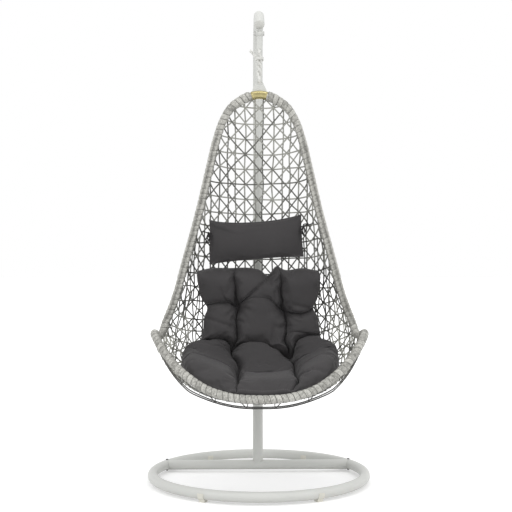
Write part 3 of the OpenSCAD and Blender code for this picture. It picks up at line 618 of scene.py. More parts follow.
uprights, side_strands, crosses, slants, dark_strands, front_wires = [], [], [], [], [], []
seeds, tones = count(1), random.Random(5)


def add_runs(target, route, lift, radius):
    """Lay one strand. Some are dark ones, and for the slants their own loop says which."""
    seed = next(seeds)
    if target is not slants and tones.random() < DARK_SHARE:
        target = dark_strands
    for run in strand_points(route, lift, seed):
        target.append((run, radius))


def steps_down(h0, h1, steps):
    return [blend_of(h0, h1, k / steps) for k in range(steps + 1)]


for column in range(-5, 6):
    hole = column * COLUMN
    for s in (hole - HOLE_HALF, hole + HOLE_HALF, hole + COLUMN / 2):
        route = [(s, h) for h in steps_down(STRAND_TOP, NET_END, 100)]
        add_runs(uprights, route, UPRIGHT_LIFT, STRAND_R)
    if abs(column) > 1:
        for s in (hole - 0.29 * COLUMN, hole + 0.29 * COLUMN):
            route = [(s, h) for h in steps_down(SIDE_TOP, NET_END, 70)]
            add_runs(side_strands, route, SIDE_LIFT, THIN_R)
        for s in (hole - 0.1, hole - 0.04, hole + 0.04):
            route = [(s + math.copysign(STEEP_OUT, hole) * k / 40, h)
                     for k, h in enumerate(steps_down(STEEP_TOP, STEEP_END, 40))]
            add_runs(side_strands, route, STEEP_LIFT, THIN_R)

for row in range(int((NET_END - NET_TOP) / ROW) + 1):
    h = NET_TOP + row * ROW
    route = [(-0.6 + k * CROSS_STEP, h) for k in range(int(1.2 / CROSS_STEP) + 1)]
    add_runs(crosses, route, 0.0, STRAND_R)

for way in (-1, 1):
    for k in range(-34, 35):
        start = COLUMN / 2 + k * COLUMN / 2
        target = dark_strands if tones.random() < DARK_SHARE else slants
        route = [(way * (start + (h - NET_TOP) * SLANT), h)
                 for h in steps_down(STRAND_TOP, NET_END, 140)]
        add_runs(target, route, SLANT_LIFT + (WAY_LIFT if way > 0 else 0), STRAND_R)

# %% [markdown]
# ## The wires under the rim
# Two thin wires hang a little below the front rim and follow it. A few ties in the
# shape of a V hold them. They are drawn from the rim's own curve: each point is set
# down from the rim and, near the middle, inwards.

# %% Front wires
WIRE_SPAN, WIRE_MIDDLE, WIRE_R, TIE_R = 72, 40, 0.0026, 0.0019
OUTER_WIRE, INNER_WIRE, TIE_TOP = (0.060, 0.043), (0.050, 0.036), (0.004, 0.010)


def under_rim(degrees, inward, down):
    """A point under the rim. The wires run into the rim at both ends of their span."""
    p = rim_point(abs(degrees))
    slack = max(0.0, 1 - (abs(degrees) / WIRE_SPAN) ** 6)
    hub = Vector((0, EAR_Y, p.z))
    inward *= max(0.0, 1 - (degrees / WIRE_MIDDLE) ** 2)
    down *= 1 + 0.22 * min(1.0, (degrees / WIRE_MIDDLE) ** 2)
    p += (hub - p).normalized() * inward - Vector((0, 0, down * slack + 0.012 * (1 - slack)))
    return Vector((math.copysign(p.x, degrees), p.y, p.z))


for wire in (OUTER_WIRE, INNER_WIRE):
    front_wires.append(([under_rim(WIRE_SPAN * (k / 60 * 2 - 1), *wire) for k in range(61)], WIRE_R))
for place in (-46, -27, -9, 9, 28, 47):
    for lean in (-2.2, 2.2):
        low, high = under_rim(place, *OUTER_WIRE), under_rim(place + lean, *TIE_TOP)
        front_wires.append(([low.lerp(high, q / 4) for q in range(5)], TIE_R))


def strand_material(name, light, dark):
    material, at, shader = new_material(name, 0.45)
    streaks = at.noise(26.0, 4.0)
    grain = at.noise(700.0, 2.0)
    sideways, _, height = at.parts()
    # Painted light: on the lower sides the strands turn paler than their own light colour, against the
    # shade that falls there.
    low_side_painted_light = sideways.math("ABSOLUTE").between(0.22, 0.34) * (1 - height.between(0.62, 0.9))
    low_side_painted_light = low_side_painted_light * streaks.between(0.3, 0.55)
    # Painted shade: the strands are darker lower down, near the cushions, where the net lies in their
    # shade.
    tone = (streaks * 0.8 + height.between(0.75, 1.35) * 0.22).between(0.2, 0.7)
    feed(shader, "Base Color", low_side_painted_light.mix(tone.mix(dark, light), [c * 1.6 for c in light]))
    feed(shader, "Roughness", streaks * 0.3 + 0.3)
    bump(shader, grain, 0.4, 0.0004)
    return material


light_strand = strand_material("pale net strand", srgb(166, 166, 159), srgb(84, 84, 80))
dark_strand = strand_material("dark net strand", srgb(106, 106, 101), srgb(66, 66, 63))
# Painted shade: the wires are given a darker colour than the net's strands for the shade under the rim.
wire_strand_in_painted_shade = strand_material("front wire in painted shade", srgb(78, 77, 74), srgb(52, 52, 50))
net_pieces = [
    tubes("net_uprights", uprights, light_strand), tubes("net_crosses", crosses, light_strand),
    tubes("net_side_strands", side_strands, light_strand),
    tubes("net_slants", slants, light_strand), tubes("net_dark_strands", dark_strands, dark_strand),
    tubes("net_front_wires", front_wires, wire_strand_in_painted_shade),
]
for piece in net_pieces:
    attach(piece, "basket")
    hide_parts("wicker_basket")
    print(piece.name, len(piece.data.polygons), "faces")

# %% [markdown]
# ## Filling a cushion by cloth simulation
# A cushion is two sheets of cloth sewn together and stuffed. Its crown and its small
# wrinkles are hard to draw, and easy to get from a simulation: two grids with a
# common edge are laid over the net, the seams and the underside are pinned, and
# pressure with a little spare cloth fills the panels. A cap keeps every point near
# its start, so that the pad stays in the room that the solid has.

# %% Pads over the net
PAD_AIR = 0.0048


def over_net(x, v, h):
    """The point above the net at x and v, h from the net's middle surface."""
    half = frame_at(v).x
    a = math.asin(max(-0.98, min(0.98, x / (half * 1.1))))
    for _ in range(5):
        off = x - (net_at(a, v) + net_normal(a, v) * h).x
        a = math.asin(max(-0.985, min(0.985, math.sin(a) + 0.8 * off / half)))
    return net_at(a, v) + net_normal(a, v) * h


def swell(s, t, power_s, power_t):
    return math.sqrt(max(0.0, (1 - abs(s) ** power_s) * (1 - abs(t) ** power_t)))


def drawn(points):
    """A smooth line through (place, value) pairs, as the two columns of a table."""
    knots = [Vector((*p, 0)) for p in points]
    dense = []
    for i in range(len(knots) - 1):
        near = [knots[max(0, min(len(knots) - 1, i + k))] for k in (-1, 0, 1, 2)]
        dense += [bend(*near, j / 8) for j in range(8)]
    dense.append(knots[-1])
    return [p.x for p in dense], [p.y for p in dense]


def pad_piece(name, columns, rows, place, material):
    """A closed pad of two grids. place(column, row, on_top) gives each point and its cloth place."""
    bm = bmesh.new()
    where = bm.verts.layers.float_vector.new("cloth_place")
    border = bm.verts.layers.float.new("border")
    uv_layer = bm.loops.layers.uv.new("cloth")
    for on_top in (True, False):
        made = bmesh.ops.create_grid(bm, x_segments=columns, y_segments=rows, size=0.5)["verts"]
        for vert in made:
            c, r = round((vert.co.x + 0.5) * columns), round((vert.co.y + 0.5) * rows)
            vert.co, flat = place(c, r, on_top)
            vert[where] = (c, r, 1.0 if on_top else 0.0)
            vert[border] = min(c, columns - c, r, rows - r)
            for loop in vert.link_loops:
                loop[uv_layer].uv = flat
    bmesh.ops.remove_doubles(bm, verts=bm.verts, dist=0.00002)
    bmesh.ops.recalc_face_normals(bm, faces=bm.faces)
    return finished(name, bm, material)


def pad_spots(piece):
    """Column, row and 1 or 0 for top or underside, for each point of a pad."""
    for spot in piece.data.attributes["cloth_place"].data:
        yield round(spot.vector[0]), round(spot.vector[1]), spot.vector[2]


def fill_pad(piece, held, cap, spare, frames=22):
    """Fill a pad by simulation. held says which points stay put, cap is the others' longest way."""
    group = piece.vertex_groups.new(name="held")
    group.add([index for index, keep in enumerate(held) if keep], 1.0, "REPLACE")
    cloth = piece.modifiers.new("cloth", "CLOTH")
    cloth.settings.quality = 6
    cloth.settings.mass = 0.15
    cloth.settings.bending_stiffness = 0.6
    cloth.settings.vertex_group_mass = "held"
    cloth.settings.use_pressure = True
    cloth.settings.uniform_pressure_force = 7.0
    cloth.settings.shrink_min = -spare
    cloth.settings.effector_weights.gravity = 0
    cloth.point_cache.frame_start, cloth.point_cache.frame_end = 1, frames
    for frame_number in range(1, frames + 1):
        bpy.context.scene.frame_set(frame_number)
    shaped = piece.evaluated_get(bpy.context.evaluated_depsgraph_get()).data
    moved = 0.0
    for vert, result in zip(piece.data.vertices, [v.co.copy() for v in shaped.vertices]):
        step = result - vert.co
        if step.length > 1e-7:
            step *= cap * math.tanh(step.length / cap) / step.length
        moved = max(moved, step.length)
        vert.co = vert.co + step
    piece.modifiers.remove(cloth)
    piece.vertex_groups.remove(group)
    bpy.context.scene.frame_set(1)
    print(piece.name, "filled, moved up to", round(moved * 1000, 1), "mm")


def soften(piece):
    smooth = piece.modifiers.new("smooth", "SUBSURF")
    smooth.levels = smooth.render_levels = 1


# %% [markdown]
# ## The seat cushion
# It covers the seat and the lower back in one piece. Two long seams with four deep
# tufts split it into three columns, and creases run across it at the tufts. The
# grid's own lines are bent to lie along these seams and creases, because a crease
# that crosses the faces would come out jagged.

# %% Seat cushion lines
SEAT_THICK, SEAT_HALF = 0.098, 0.325
SEAT_TOP_V, SEAT_FRONT_V = 8.04, 17.7
SEAM_SHARE = drawn([(8.04, 0.40), (10.5, 0.40), (12, 0.30), (13.5, 0.20), (17.7, 0.20)])
SEAT_PLAN = drawn([
    (8.04, 0.71), (8.2, 0.775), (8.6, 0.775), (8.8, 0.75), (9.05, 0.69), (9.3, 0.73), (9.9, 0.765),
    (10.3, 0.79), (10.6, 0.88), (11, 0.94), (12, 0.99), (13, 1), (14, 0.985), (15, 0.93), (16, 0.80),
    (17, 0.57), (17.7, 0.36)])
SEAT_SHIFT = drawn([(8.04, -0.006), (8.7, 0.002), (9.5, 0.010), (10.6, 0.008), (12.3, 0.004),
                    (17.7, 0.002)])
LEFT_SEAM = drawn([(8.04, -0.40), (8.7, -0.39), (9.0, -0.42), (9.6, -0.43), (10.2, -0.41),
                   (10.65, -0.42), (11.1, -0.39), (11.6, -0.32), (12.3, -0.275), (13.4, -0.27),
                   (15, -0.29), (16, -0.35), (17, -0.5), (17.7, -0.8)])
RIGHT_SEAM = drawn([(8.04, 0.38), (8.7, 0.385), (9.1, 0.44), (9.6, 0.43), (10.2, 0.41), (10.65, 0.40),
                    (11.1, 0.395), (11.6, 0.40), (12.3, 0.43), (13.4, 0.43), (15, 0.48), (16, 0.56),
                    (17, 0.72), (17.7, 0.9)])
TOP_LINE = drawn([(-1, 8.20), (-0.85, 8.11), (-0.5, 8.07), (-0.1, 8.06), (0.05, 8.11), (0.17, 8.25),
                  (0.25, 8.13), (0.37, 8.01), (0.46, 8.10), (0.8, 8.09), (1, 8.18)])
BACK_CREASE = drawn([(-1, 8.96), (-0.75, 8.90), (-0.6, 8.90), (-0.42, 9.0), (-0.3, 8.86), (-0.18, 8.80),
                     (-0.04, 8.77), (0.18, 8.84), (0.33, 9.0), (0.44, 9.15), (0.7, 9.20), (0.93, 9.10),
                     (1, 9.03)])
SEAT_CREASE = drawn([(-1, 10.60), (-0.85, 10.38), (-0.6, 10.26), (-0.5, 10.38), (-0.42, 10.68),
                     (-0.34, 10.48), (-0.18, 10.34), (0, 10.36), (0.2, 10.68), (0.32, 10.98),
                     (0.395, 11.1), (0.5, 10.62), (0.64, 10.26), (0.8, 10.14), (1, 10.12)])
FRONT_SEAM = drawn([(-1, 13.8), (-0.6, 13.7), (-0.27, 13.65), (0.05, 13.7), (0.43, 13.8), (1, 13.9)])
CROSS_LINES = (TOP_LINE, BACK_CREASE, SEAT_CREASE, FRONT_SEAM)
CENTRE_ROWS = (0, 24, 54, 88, 126)
SEAM_COLUMNS = (0, 30, 62, 92)
TOP_RISE, FALL_V = 0.045, 13.6
LOW_SHARE, TUFT_DEEP, TUFT_REACH, WRINKLE_WIDE = 0.14, 0.30, 0.034, 0.007

LEFT_DEPTH = drawn([(8.04, 0.25), (8.4, 0.45), (9.0, 0.85), (9.5, 0.62), (10.65, 0.85), (11.4, 0.6),
                    (12.1, 0.62), (12.8, 0.8), (15, 0.85), (17.7, 0.8)])
RIGHT_DEPTH = drawn([(8.04, 0.25), (8.4, 0.45), (9.1, 0.85), (9.7, 0.62), (11.1, 0.85), (11.9, 0.6),
                     (12.4, 0.62), (13.0, 0.8), (15, 0.85), (17.7, 0.8)])
BACK_DEPTH = drawn([(-1, 0.4), (-0.7, 0.45), (-0.42, 0.85), (-0.3, 0.25), (0.0, 0.03), (0.25, 0.18),
                    (0.44, 0.85), (0.7, 0.5), (1, 0.45)])
SEAT_DEPTH = drawn([(-1, 0.5), (-0.65, 0.58), (-0.42, 0.85), (-0.2, 0.32), (0.1, 0.24), (0.395, 0.85),
                    (0.7, 0.5), (1, 0.45)])
FRONT_DEPTH = drawn([(-1, 0.0), (-0.31, 0.0), (-0.26, 0.09), (0.42, 0.09), (0.47, 0.0), (1, 0.0)])
TUFTS = [(-0.42, 9.0), (0.44, 9.14), (-0.42, 10.68), (0.395, 11.1)]
WRINKLES = [
    (-0.86, 12.2, 0.3, 0.035, 0.010), (-0.80, 12.9, 0.5, 0.03, 0.006), (0.76, 12.0, -0.9, 0.03, 0.009),
    (0.86, 12.5, -0.5, 0.03, 0.007), (0.66, 12.6, 0.8, 0.025, 0.005), (-0.02, 12.4, 0.2, 0.03, 0.006),
    (0.10, 12.5, 0.5, 0.025, 0.006), (0.75, 10.0, 1.35, 0.05, 0.006), (-0.62, 8.65, 0.25, 0.03, 0.007),
    (0.28, 8.75, 0.2, 0.035, 0.008), (-0.75, 9.5, 1.2, 0.04, 0.005), (0.72, 8.95, 1.3, 0.05, 0.006),
]


def down_of(v):
    return look_up(V_ROWS, DOWN, v)


def crowd(value, knots, pull=0.45):
    """Move a grid line towards the nearest seam or crease, where the shape turns fast."""
    for low, high in zip(knots, knots[1:]):
        if low <= value <= high:
            t = (value - low) / (high - low)
            return low + (high - low) * (t - pull * math.sin(2 * math.pi * t) / (2 * math.pi))
    return value


@lru_cache(maxsize=None)
def seat_place(column, row):
    """Share across and station along for a point of the cushion's grid."""
    column, row = crowd(column, SEAM_COLUMNS), crowd(row, CENTRE_ROWS)
    s = 2 * column / SEAM_COLUMNS[-1] - 1
    for _ in range(4):
        lines = [down_of(look_up(*line, s)) for line in CROSS_LINES]
        v = v_down(look_up(CENTRE_ROWS, (*lines, down_of(SEAT_FRONT_V)), row))
        s = look_up(SEAM_COLUMNS, (-1, look_up(*LEFT_SEAM, v), look_up(*RIGHT_SEAM, v), 1), column)
    return s, v


def seat_x(s, v):
    """The sideways place of a point with share s across the cushion, whose width changes along v."""
    return look_up(*SEAT_SHIFT, v) + s * SEAT_HALF * look_up(*SEAT_PLAN, v)


FOLD_START = Vector((seat_x(-0.40, 8.94), down_of(8.94)))
FOLD_END = Vector((seat_x(0.19, 8.22), down_of(8.22)))


def dip(depth, distance, reach):
    """1 far from a crease and 1 - depth on it, with the steep sides of a sewn crease."""
    x = min(1.0, abs(distance) / reach)
    return 1 - depth * (1 - math.sqrt(1 - (1 - x) ** 2.6))


def seat_height(s, v):
    """Height over the net before the filling: round panels between the seams and creases."""
    half = SEAT_HALF * look_up(*SEAT_PLAN, v)
    along = down_of(v)
    rise = min(1.0, (along - down_of(look_up(*TOP_LINE, s))) / TOP_RISE)
    fall = share((v - FALL_V) / (SEAT_FRONT_V - FALL_V))
    full = math.sqrt(max(0, 1 - (1 - rise) ** 2)) * (1 - fall ** 2.4) ** 0.5
    full *= math.sqrt(1 - abs(s) ** 7)
    from_left, from_right = (s - look_up(*LEFT_SEAM, v)) * half, (s - look_up(*RIGHT_SEAM, v)) * half
    from_back = along - down_of(look_up(*BACK_CREASE, s))
    from_seat = along - down_of(look_up(*SEAT_CREASE, s))
    reach = 0.036 - 0.012 * share((v - 11.4) / 1.2)
    from_front = along - down_of(look_up(*FRONT_SEAM, s))
    dips = dip(look_up(*LEFT_DEPTH, v), from_left, reach)
    dips *= dip(look_up(*RIGHT_DEPTH, v), from_right, reach)
    dips *= dip(look_up(*BACK_DEPTH, s), from_back, 0.032)
    dips *= dip(look_up(*SEAT_DEPTH, s), from_seat, 0.034)
    dips *= dip(look_up(*FRONT_DEPTH, s), from_front, 0.009)
    wing = share((v - 10.8) / 1.2) * share((abs(s - 0.12) - 0.3) / 0.35)
    seam = look_up(*SEAM_SHARE, v)
    height = SEAT_THICK * (seam + (0.98 + 0.14 * wing - seam) * full)
    low = SEAT_THICK * LOW_SHARE
    height = low + (height - low) * (0.05 + 0.95 * dips)
    for k, (tuft_s, tuft_v) in enumerate(TUFTS):
        x, y = (s - tuft_s) * half, along - down_of(tuft_v)
        away = math.hypot(x, y)
        press = full * math.exp(-(away / TUFT_REACH) ** 2) * min(1, dips * 1.5)
        height -= SEAT_THICK * TUFT_DEEP * press
        if 0.004 < away < 0.12:
            uneven = 2.5 * noise.noise(Vector((x * 20, y * 20, k)))
            fold = math.cos(9 * math.atan2(y, x) + k * 1.7 + uneven)
            height += 0.0036 * fold * math.exp(-((away - 0.04) / 0.028) ** 2)
    for fold_s, fold_v, lean, long, deep in WRINKLES:
        x, y = (s - fold_s) * half, along - down_of(fold_v)
        across, run = x * math.cos(lean) - y * math.sin(lean), x * math.sin(lean) + y * math.cos(lean)
        height -= deep * math.exp(-(across / WRINKLE_WIDE) ** 2 - (run / long) ** 4)
    spot = Vector((seat_x(s, v), along)) - FOLD_START
    line = (FOLD_END - FOLD_START).normalized()
    run, off = spot.dot(line), line.cross(spot)
    if run > 0:
        fade = min(1, run / 0.02) * share(((FOLD_END - FOLD_START).length + 0.02 - run) / 0.03)
        lift = math.exp(off / 0.03) if off < 0 else 0.0
        height += fade * (0.008 * lift - 0.012 * math.exp(-((off - 0.003) / 0.006) ** 2))
    return height


def seat_point(column, row, on_top):
    s, v = seat_place(column, row)
    seam = look_up(*SEAM_SHARE, v) * SEAT_THICK
    if row in (0, CENTRE_ROWS[-1]) or column in (0, SEAM_COLUMNS[-1]):
        h = seam
    elif on_top:
        h = seat_height(s, v)
    else:
        h = seam * (1 - swell(s, 2 * (v - SEAT_TOP_V) / (SEAT_FRONT_V - SEAT_TOP_V) - 1, 6, 12))
    x = seat_x(s, v)
    return over_net(x, v, PAD_AIR + h), (x, down_of(v))


# %% [markdown]
# ## The cushion cloth
# The covers are of a plain, tightly woven fabric. A picture of cloth could show the
# weave, but sums do it at any size: two sine waves along the cloth's own UV map are
# the threads, noise makes slubs and small creases, and the count of grid rows from
# the border draws a line of stitches beside the outer seam.

# %% Cushion cloth
THREAD, STITCH = 0.0016, 0.007


def cushion_cloth(name, colour, lighter):
    material, at, shader = new_material(name, 0.85, Sheen_Weight=0.12, Sheen_Roughness=0.4)
    across, along, _ = at.node("UVMap", {"uv_map": "cloth"}).parts()
    threads = 2 * math.pi / THREAD
    weave = (across * threads).math("SINE") * (along * threads).math("SINE")
    slubs = at.noise(420.0, 3.0, Roughness=0.7)
    clouds = at.noise(9.0, 4.0)
    creases = at.noise(28.0, 3.0, Distortion=0.8)
    edge = at.node("Attribute", {"attribute_name": "border"}, out=2)
    dashes = ((across + along) * (2 * math.pi / STITCH)).math("SINE").between(-0.3, 0.1)
    stitches = dashes * (1 - (edge - 0.9).math("ABSOLUTE").between(0.1, 0.3))
    # Painted shade: the cloth turns darker along the outer seam, in the groove where the two sheets
    # meet.
    seam = 1 - edge.between(0.05, 0.35)
    tone = (clouds * 0.6 + slubs * 0.3 + weave * 0.08).between(0.2, 0.75)
    sewn = (stitches * 0.7).mix(tone.mix(colour, lighter), [c * 1.5 for c in lighter])
    feed(shader, "Base Color", (seam * 0.5).mix(sewn, [c * 0.5 for c in colour]))
    feed(shader, "Roughness", clouds * 0.2 + 0.72)
    bump(shader, weave * 0.10 + slubs * 0.25 + creases * 1.6 + stitches * 0.3, 0.5, 0.0012)
    return material


cloth = cushion_cloth("charcoal cushion cloth", srgb(52, 50, 51), srgb(66, 64, 65))

# %% [markdown]
# ## Filling the seat cushion
# Before the filling, the underside, the border, the long seams and the deepest
# creases are pinned, as the thread holds them on a real cushion.

# %% Make the seat cushion
seat = pad_piece("seat_pad", SEAM_COLUMNS[-1], CENTRE_ROWS[-1], seat_point, cloth)
top_edge, back_crease, seat_crease, front_seam, front_edge = CENTRE_ROWS
held = []
for c, r, on_top in pad_spots(seat):
    s, _ = seat_place(c, r)
    held.append(on_top < 0.5 or c in SEAM_COLUMNS or r in (top_edge, seat_crease, front_edge)
                or r == back_crease and look_up(*BACK_DEPTH, s) > 0.45
                or r == front_seam and look_up(*FRONT_DEPTH, s) > 0.2)
fill_pad(seat, held, cap=0.014, spare=0.05)
soften(seat)
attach(seat, "basket")
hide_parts("seat_cushion")
print("seat cushion:", len(seat.data.polygons), "faces")

# %% [markdown]
# ## The head pillow
# A plain bolster of two sheets. Its long sides are drawn in between the corners, as a
# filled bag's are, and its front is filled by the same simulation.

# %% Head pillow
PILLOW_THICK, PILLOW_LONG, PILLOW_HIGH = 0.082, 0.400, 0.187
PILLOW_V, PILLOW_X, PILLOW_TILT, PILLOW_SAG, PILLOW_SEAM = 7.43, -0.009, 0.090, 0.045, 0.45
PILLOW_BRIDGE, PILLOW_SKEW = 0.022, 0.007
PILLOW_DV = PILLOW_HIGH / (middle_station(8) - middle_station(7)).length
SIDE_PINCH, LONG_PINCH = 0.012, 0.10
PILLOW_COLUMNS, PILLOW_ROWS = 64, 28


def pillow_at(s, t, h):
    """A point of the pillow, s across and t down it. It hangs tilted, its ends lower on the net."""
    v = PILLOW_V + t * PILLOW_DV / 2 - s * PILLOW_TILT + PILLOW_SAG * (s * s - 0.5)
    x = PILLOW_X + s * PILLOW_LONG / 2 + PILLOW_SKEW * (t - 1) * max(0, s) ** 2
    return over_net(x, v, PAD_AIR + PILLOW_BRIDGE * max(0, 1 - s * s) + h)


def pillow_point(column, row, on_top):
    s, t = 2 * column / PILLOW_COLUMNS - 1, 2 * row / PILLOW_ROWS - 1
    s, t = [blend_of(x, math.sin(math.pi * x / 2), 0.5) for x in (s, t)]
    c = swell(s, t, 2.6, 2.0)
    seam = PILLOW_SEAM * PILLOW_THICK
    h = seam + (PILLOW_THICK * 0.98 - seam) * c if on_top else seam * (1 - c)
    where = pillow_at(s * (1 - SIDE_PINCH * (1 - t * t)), t * (1 - LONG_PINCH * (1 - s * s)), h)
    return where, (s * PILLOW_LONG / 2, t * PILLOW_HIGH / 2)


pillow = pad_piece("pillow_pad", PILLOW_COLUMNS, PILLOW_ROWS, pillow_point, cloth)
held = [on_top < 0.5 or c in (0, PILLOW_COLUMNS) or r in (0, PILLOW_ROWS)
        for c, r, on_top in pad_spots(pillow)]
fill_pad(pillow, held, cap=0.010, spare=0.045)
soften(pillow)
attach(pillow, "basket")
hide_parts("head_pillow")
print("pillow:", len(pillow.data.polygons), "faces")

# %% [markdown]
# ## The pillow's ties
# A ribbon at each upper end ties the pillow to the net. A ribbon is a flat strip, but
# knotted it rolls up, so it is drawn as a thin round strand with a knot and small
# loops at the pillow's end.

# %% Pillow ties
tie_cloth, tie_at, tie_shader = new_material("tie ribbon", 0.8)
tie_weave = tie_at.noise(500.0, 2.0)
feed(tie_shader, "Base Color", tie_weave.mix(srgb(24, 23, 24), srgb(40, 38, 39)))
bump(tie_shader, tie_weave, 0.4, 0.0004)

TIE_T, RIBBON_R, BOW_R, KNOT_R = -0.40, 0.0015, 0.0024, 0.0022
tie_low, tie_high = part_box("pillow_ties")
tie_runs = []
for side, reach in ((-1, tie_low[0] + 0.002), (1, tie_high[0] - 0.002)):
    v = PILLOW_V + TIE_T * PILLOW_DV / 2 - side * PILLOW_TILT + PILLOW_SAG * 0.5
    sewn = pillow_at(side * 0.985, TIE_T, PILLOW_SEAM * PILLOW_THICK)
    anchor = over_net(reach, v, 0.006)
    knot = sewn.lerp(anchor, 0.14) + Vector((0, -0.008, 0))
    for lift in (0.0012, -0.0012):
        sag = [sewn.lerp(knot, q / 8) + Vector((0, 0, lift - 0.003 * math.sin(math.pi * q / 8)))
               for q in range(9)]
        tie_runs.append((sag + [sag[-1].lerp(anchor, q / 6) for q in range(1, 7)], RIBBON_R))
    for turn, long in ((-1.9, 0.034), (-1.3, 0.044), (0.35 if side > 0 else -2.4, 0.026)):
        lobe = []
        for q in range(13):
            out, wide = math.sin(math.pi * q / 12), 0.007 * math.sin(2 * math.pi * q / 12)
            across = side * 0.4 * long * math.cos(turn) * out - wide
            lobe.append(knot + Vector((across, -0.004 * out, long * math.sin(turn) * out)))
        tie_runs.append((lobe, BOW_R))
    tie_runs.append(([knot + Vector((0.0035 * math.cos(q), -0.001, 0.0035 * math.sin(q)))
                      for q in [k * math.pi / 4 for k in range(9)]], KNOT_R))
ties = tubes("pillow_ribbons", tie_runs, tie_cloth)
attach(ties, "basket")
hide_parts("pillow_ties")
print("ties:", len(ties.data.polygons), "faces")

# %% [markdown]
# ## The brass sleeve
# A short piece of brass tube covers the joint of the hoop at the crown. It follows
# the hoop's curve, and its ends are rolled in.

# %% Brass sleeve
SLEEVE_R = 0.0171
sleeve_path = even_points(-1.0, 1.0, 0.0018)
sleeve_radii = []
for k in range(len(sleeve_path)):
    end = min(k, len(sleeve_path) - 1 - k)
    rolled, bead = max(0, 1 - end / 2.5) ** 2, math.exp(-((end - 4) / 1.5) ** 2)
    sleeve_radii.append(SLEEVE_R - 0.0022 * rolled + 0.0004 * bead)
sleeve = tubes("brass_crown_sleeve", [(sleeve_path, sleeve_radii)], FINISHES["sleeve_brass"], 8)
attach(sleeve, "basket")
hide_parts("crown_sleeve")
print("sleeve:", len(sleeve.data.polygons), "faces")

# %% [markdown]
# ## The twisted rope
# The rope goes down from the strap, through the lug's eye and up again, and its two
# legs are twisted round each other. The rope itself is laid from three strands. A
# strand is a curve that winds round the rope's path: the path carries a turning
# frame, and a whole number of turns makes the ends of the closed loop meet.

# %% Rope
ROPE_TOP, ROPE_LOW, ROPE_R = 1.77627, 1.6665, 0.0055
PAIR_R, LOOP_R, HALF_TURNS = 0.0059, 0.013, 3
LEG_STEPS, LOOP_STEPS = 70, 24
YARN_SHARE, LAY_SHARE, LAY_TURNS = 0.62, 0.40, 9


def rope_leg(side, t):
    ease = t * t * (3 - 2 * t)
    twist = math.pi * HALF_TURNS * ease
    spread = blend_of(PAIR_R, LOOP_R, abs(2 * t - 1) ** 6)
    return Vector((side * spread * math.sin(twist), HANG_Y - side * spread * math.cos(twist),
                   blend_of(ROPE_TOP, ROPE_LOW, t)))


def rope_turn(a, z, up):
    return Vector((0, HANG_Y + LOOP_R * math.cos(a), z + up * LOOP_R * math.sin(a)))


rope_path = [rope_leg(1, k / LEG_STEPS) for k in range(LEG_STEPS + 1)]
rope_path += [rope_turn(math.pi * k / LOOP_STEPS, ROPE_LOW, -1) for k in range(1, LOOP_STEPS)]
rope_path += [rope_leg(-1, k / LEG_STEPS) for k in range(LEG_STEPS, -1, -1)]
rope_path += [rope_turn(math.pi * k / LOOP_STEPS, ROPE_TOP, 1) for k in range(1, LOOP_STEPS)]


def laid_strands(path, offset, turns, closed):
    """Three strands round a path, at an offset with one value for each point."""
    n = len(path)
    ring = [path[-1], *path, path[0]] if closed else [path[0], *path, path[-1]]
    tangents = [(q - p).normalized() for p, q in zip(ring, ring[2:])]
    normals = [tangents[0].orthogonal().normalized()]
    for t in tangents[1:] + tangents[:1] * closed:
        normals.append((normals[-1] - t * normals[-1].dot(t)).normalized())
    missing = 0.0
    if closed:
        last = normals.pop()
        missing = math.atan2(tangents[0].dot(normals[0].cross(last)), normals[0].dot(last))
    strands = []
    for k in range(3):
        strand = []
        for i in range(n):
            angle = 2 * math.pi * k / 3 + (2 * math.pi * turns - missing) * i / n
            out = normals[i] * math.cos(angle) + tangents[i].cross(normals[i]) * math.sin(angle)
            strand.append(path[i] + out * offset[i])
        strands.append(strand + strand[:1] if closed else strand)
    return strands


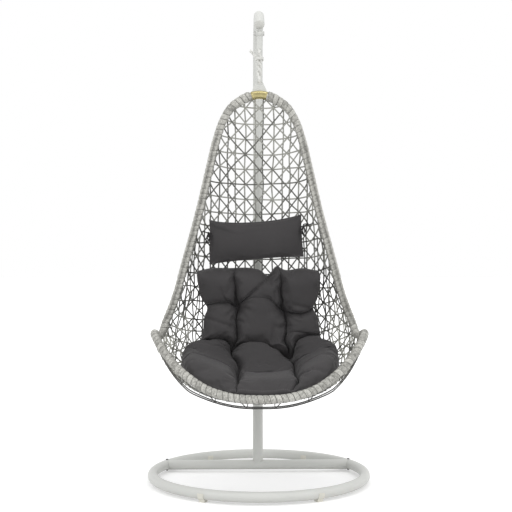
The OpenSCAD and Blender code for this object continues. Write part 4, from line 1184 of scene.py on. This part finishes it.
rope_cloth, rope_at, rope_shader = new_material("white rope", 0.8, Sheen_Weight=0.2)
yarn = rope_at.noise(900.0, 3.0, Roughness=0.7)
soil = rope_at.noise(60.0, 3.0)
rope_tone = (yarn * 0.5 + soil * 0.5).between(0.25, 0.65)
feed(rope_shader, "Base Color", rope_tone.mix(srgb(206, 206, 201), srgb(228, 228, 224)))
feed(rope_shader, "Roughness", soil * 0.2 + 0.7)
bump(rope_shader, yarn, 0.4, 0.0004)

rope_length = run_lengths(rope_path + rope_path[:1])[-1]
rope_lay = laid_strands(rope_path, [ROPE_R * LAY_SHARE] * len(rope_path), LAY_TURNS, True)
rope = tubes("twisted_rope", [(strand, ROPE_R * YARN_SHARE) for strand in rope_lay], rope_cloth, 2)
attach(rope, "rope")
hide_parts("hanging_rope")
print("rope:", round(rope_length, 3), "m round,", len(rope.data.polygons), "faces")

# %% [markdown]
# ## The rope's binding
# A thinner cord is wound round both legs below the strap, and its end stands out as
# a short tail. The binding is a plain helix. The tail is laid from three strands
# like the rope, with strands that spread towards the frayed end.

# %% Rope binding and its tail
BIND_R, BIND_PITCH, BIND_TURNS = 0.0154, 0.0052, 2.5
TAIL_LONG, TAIL_STEPS = 0.034, 18
BIND_Z = blend_of(ROPE_TOP, ROPE_LOW, 0.2)
bind_path = []
for k in range(61):
    turn = BIND_TURNS * k / 60
    a, z = 2 * math.pi * turn, BIND_Z + BIND_PITCH * (turn - BIND_TURNS / 2)
    bind_path.append(Vector((BIND_R * math.cos(a), HANG_Y + BIND_R * math.sin(a), z)))
tail_path, tail_spread = [], []
for q in range(TAIL_STEPS + 1):
    out = Vector((-0.643, 0.12 * math.sin(q / 9 * 3), 0.766)) * TAIL_LONG * q / TAIL_STEPS
    tail_path.append(bind_path[-1] + out + Vector((0, -0.004 * (1 - q / TAIL_STEPS), 0)))
    tail_spread.append(0.0022 + 0.0026 * (q / TAIL_STEPS) ** 2)
tail = [(strand, 0.0024) for strand in laid_strands(tail_path, tail_spread, 0.8, False)]
binding = tubes("rope_binding", [(bind_path, 0.0028)] + tail, rope_cloth, 2)
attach(binding, "rope")
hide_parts("rope_seizing")
print("binding:", len(binding.data.polygons), "faces")
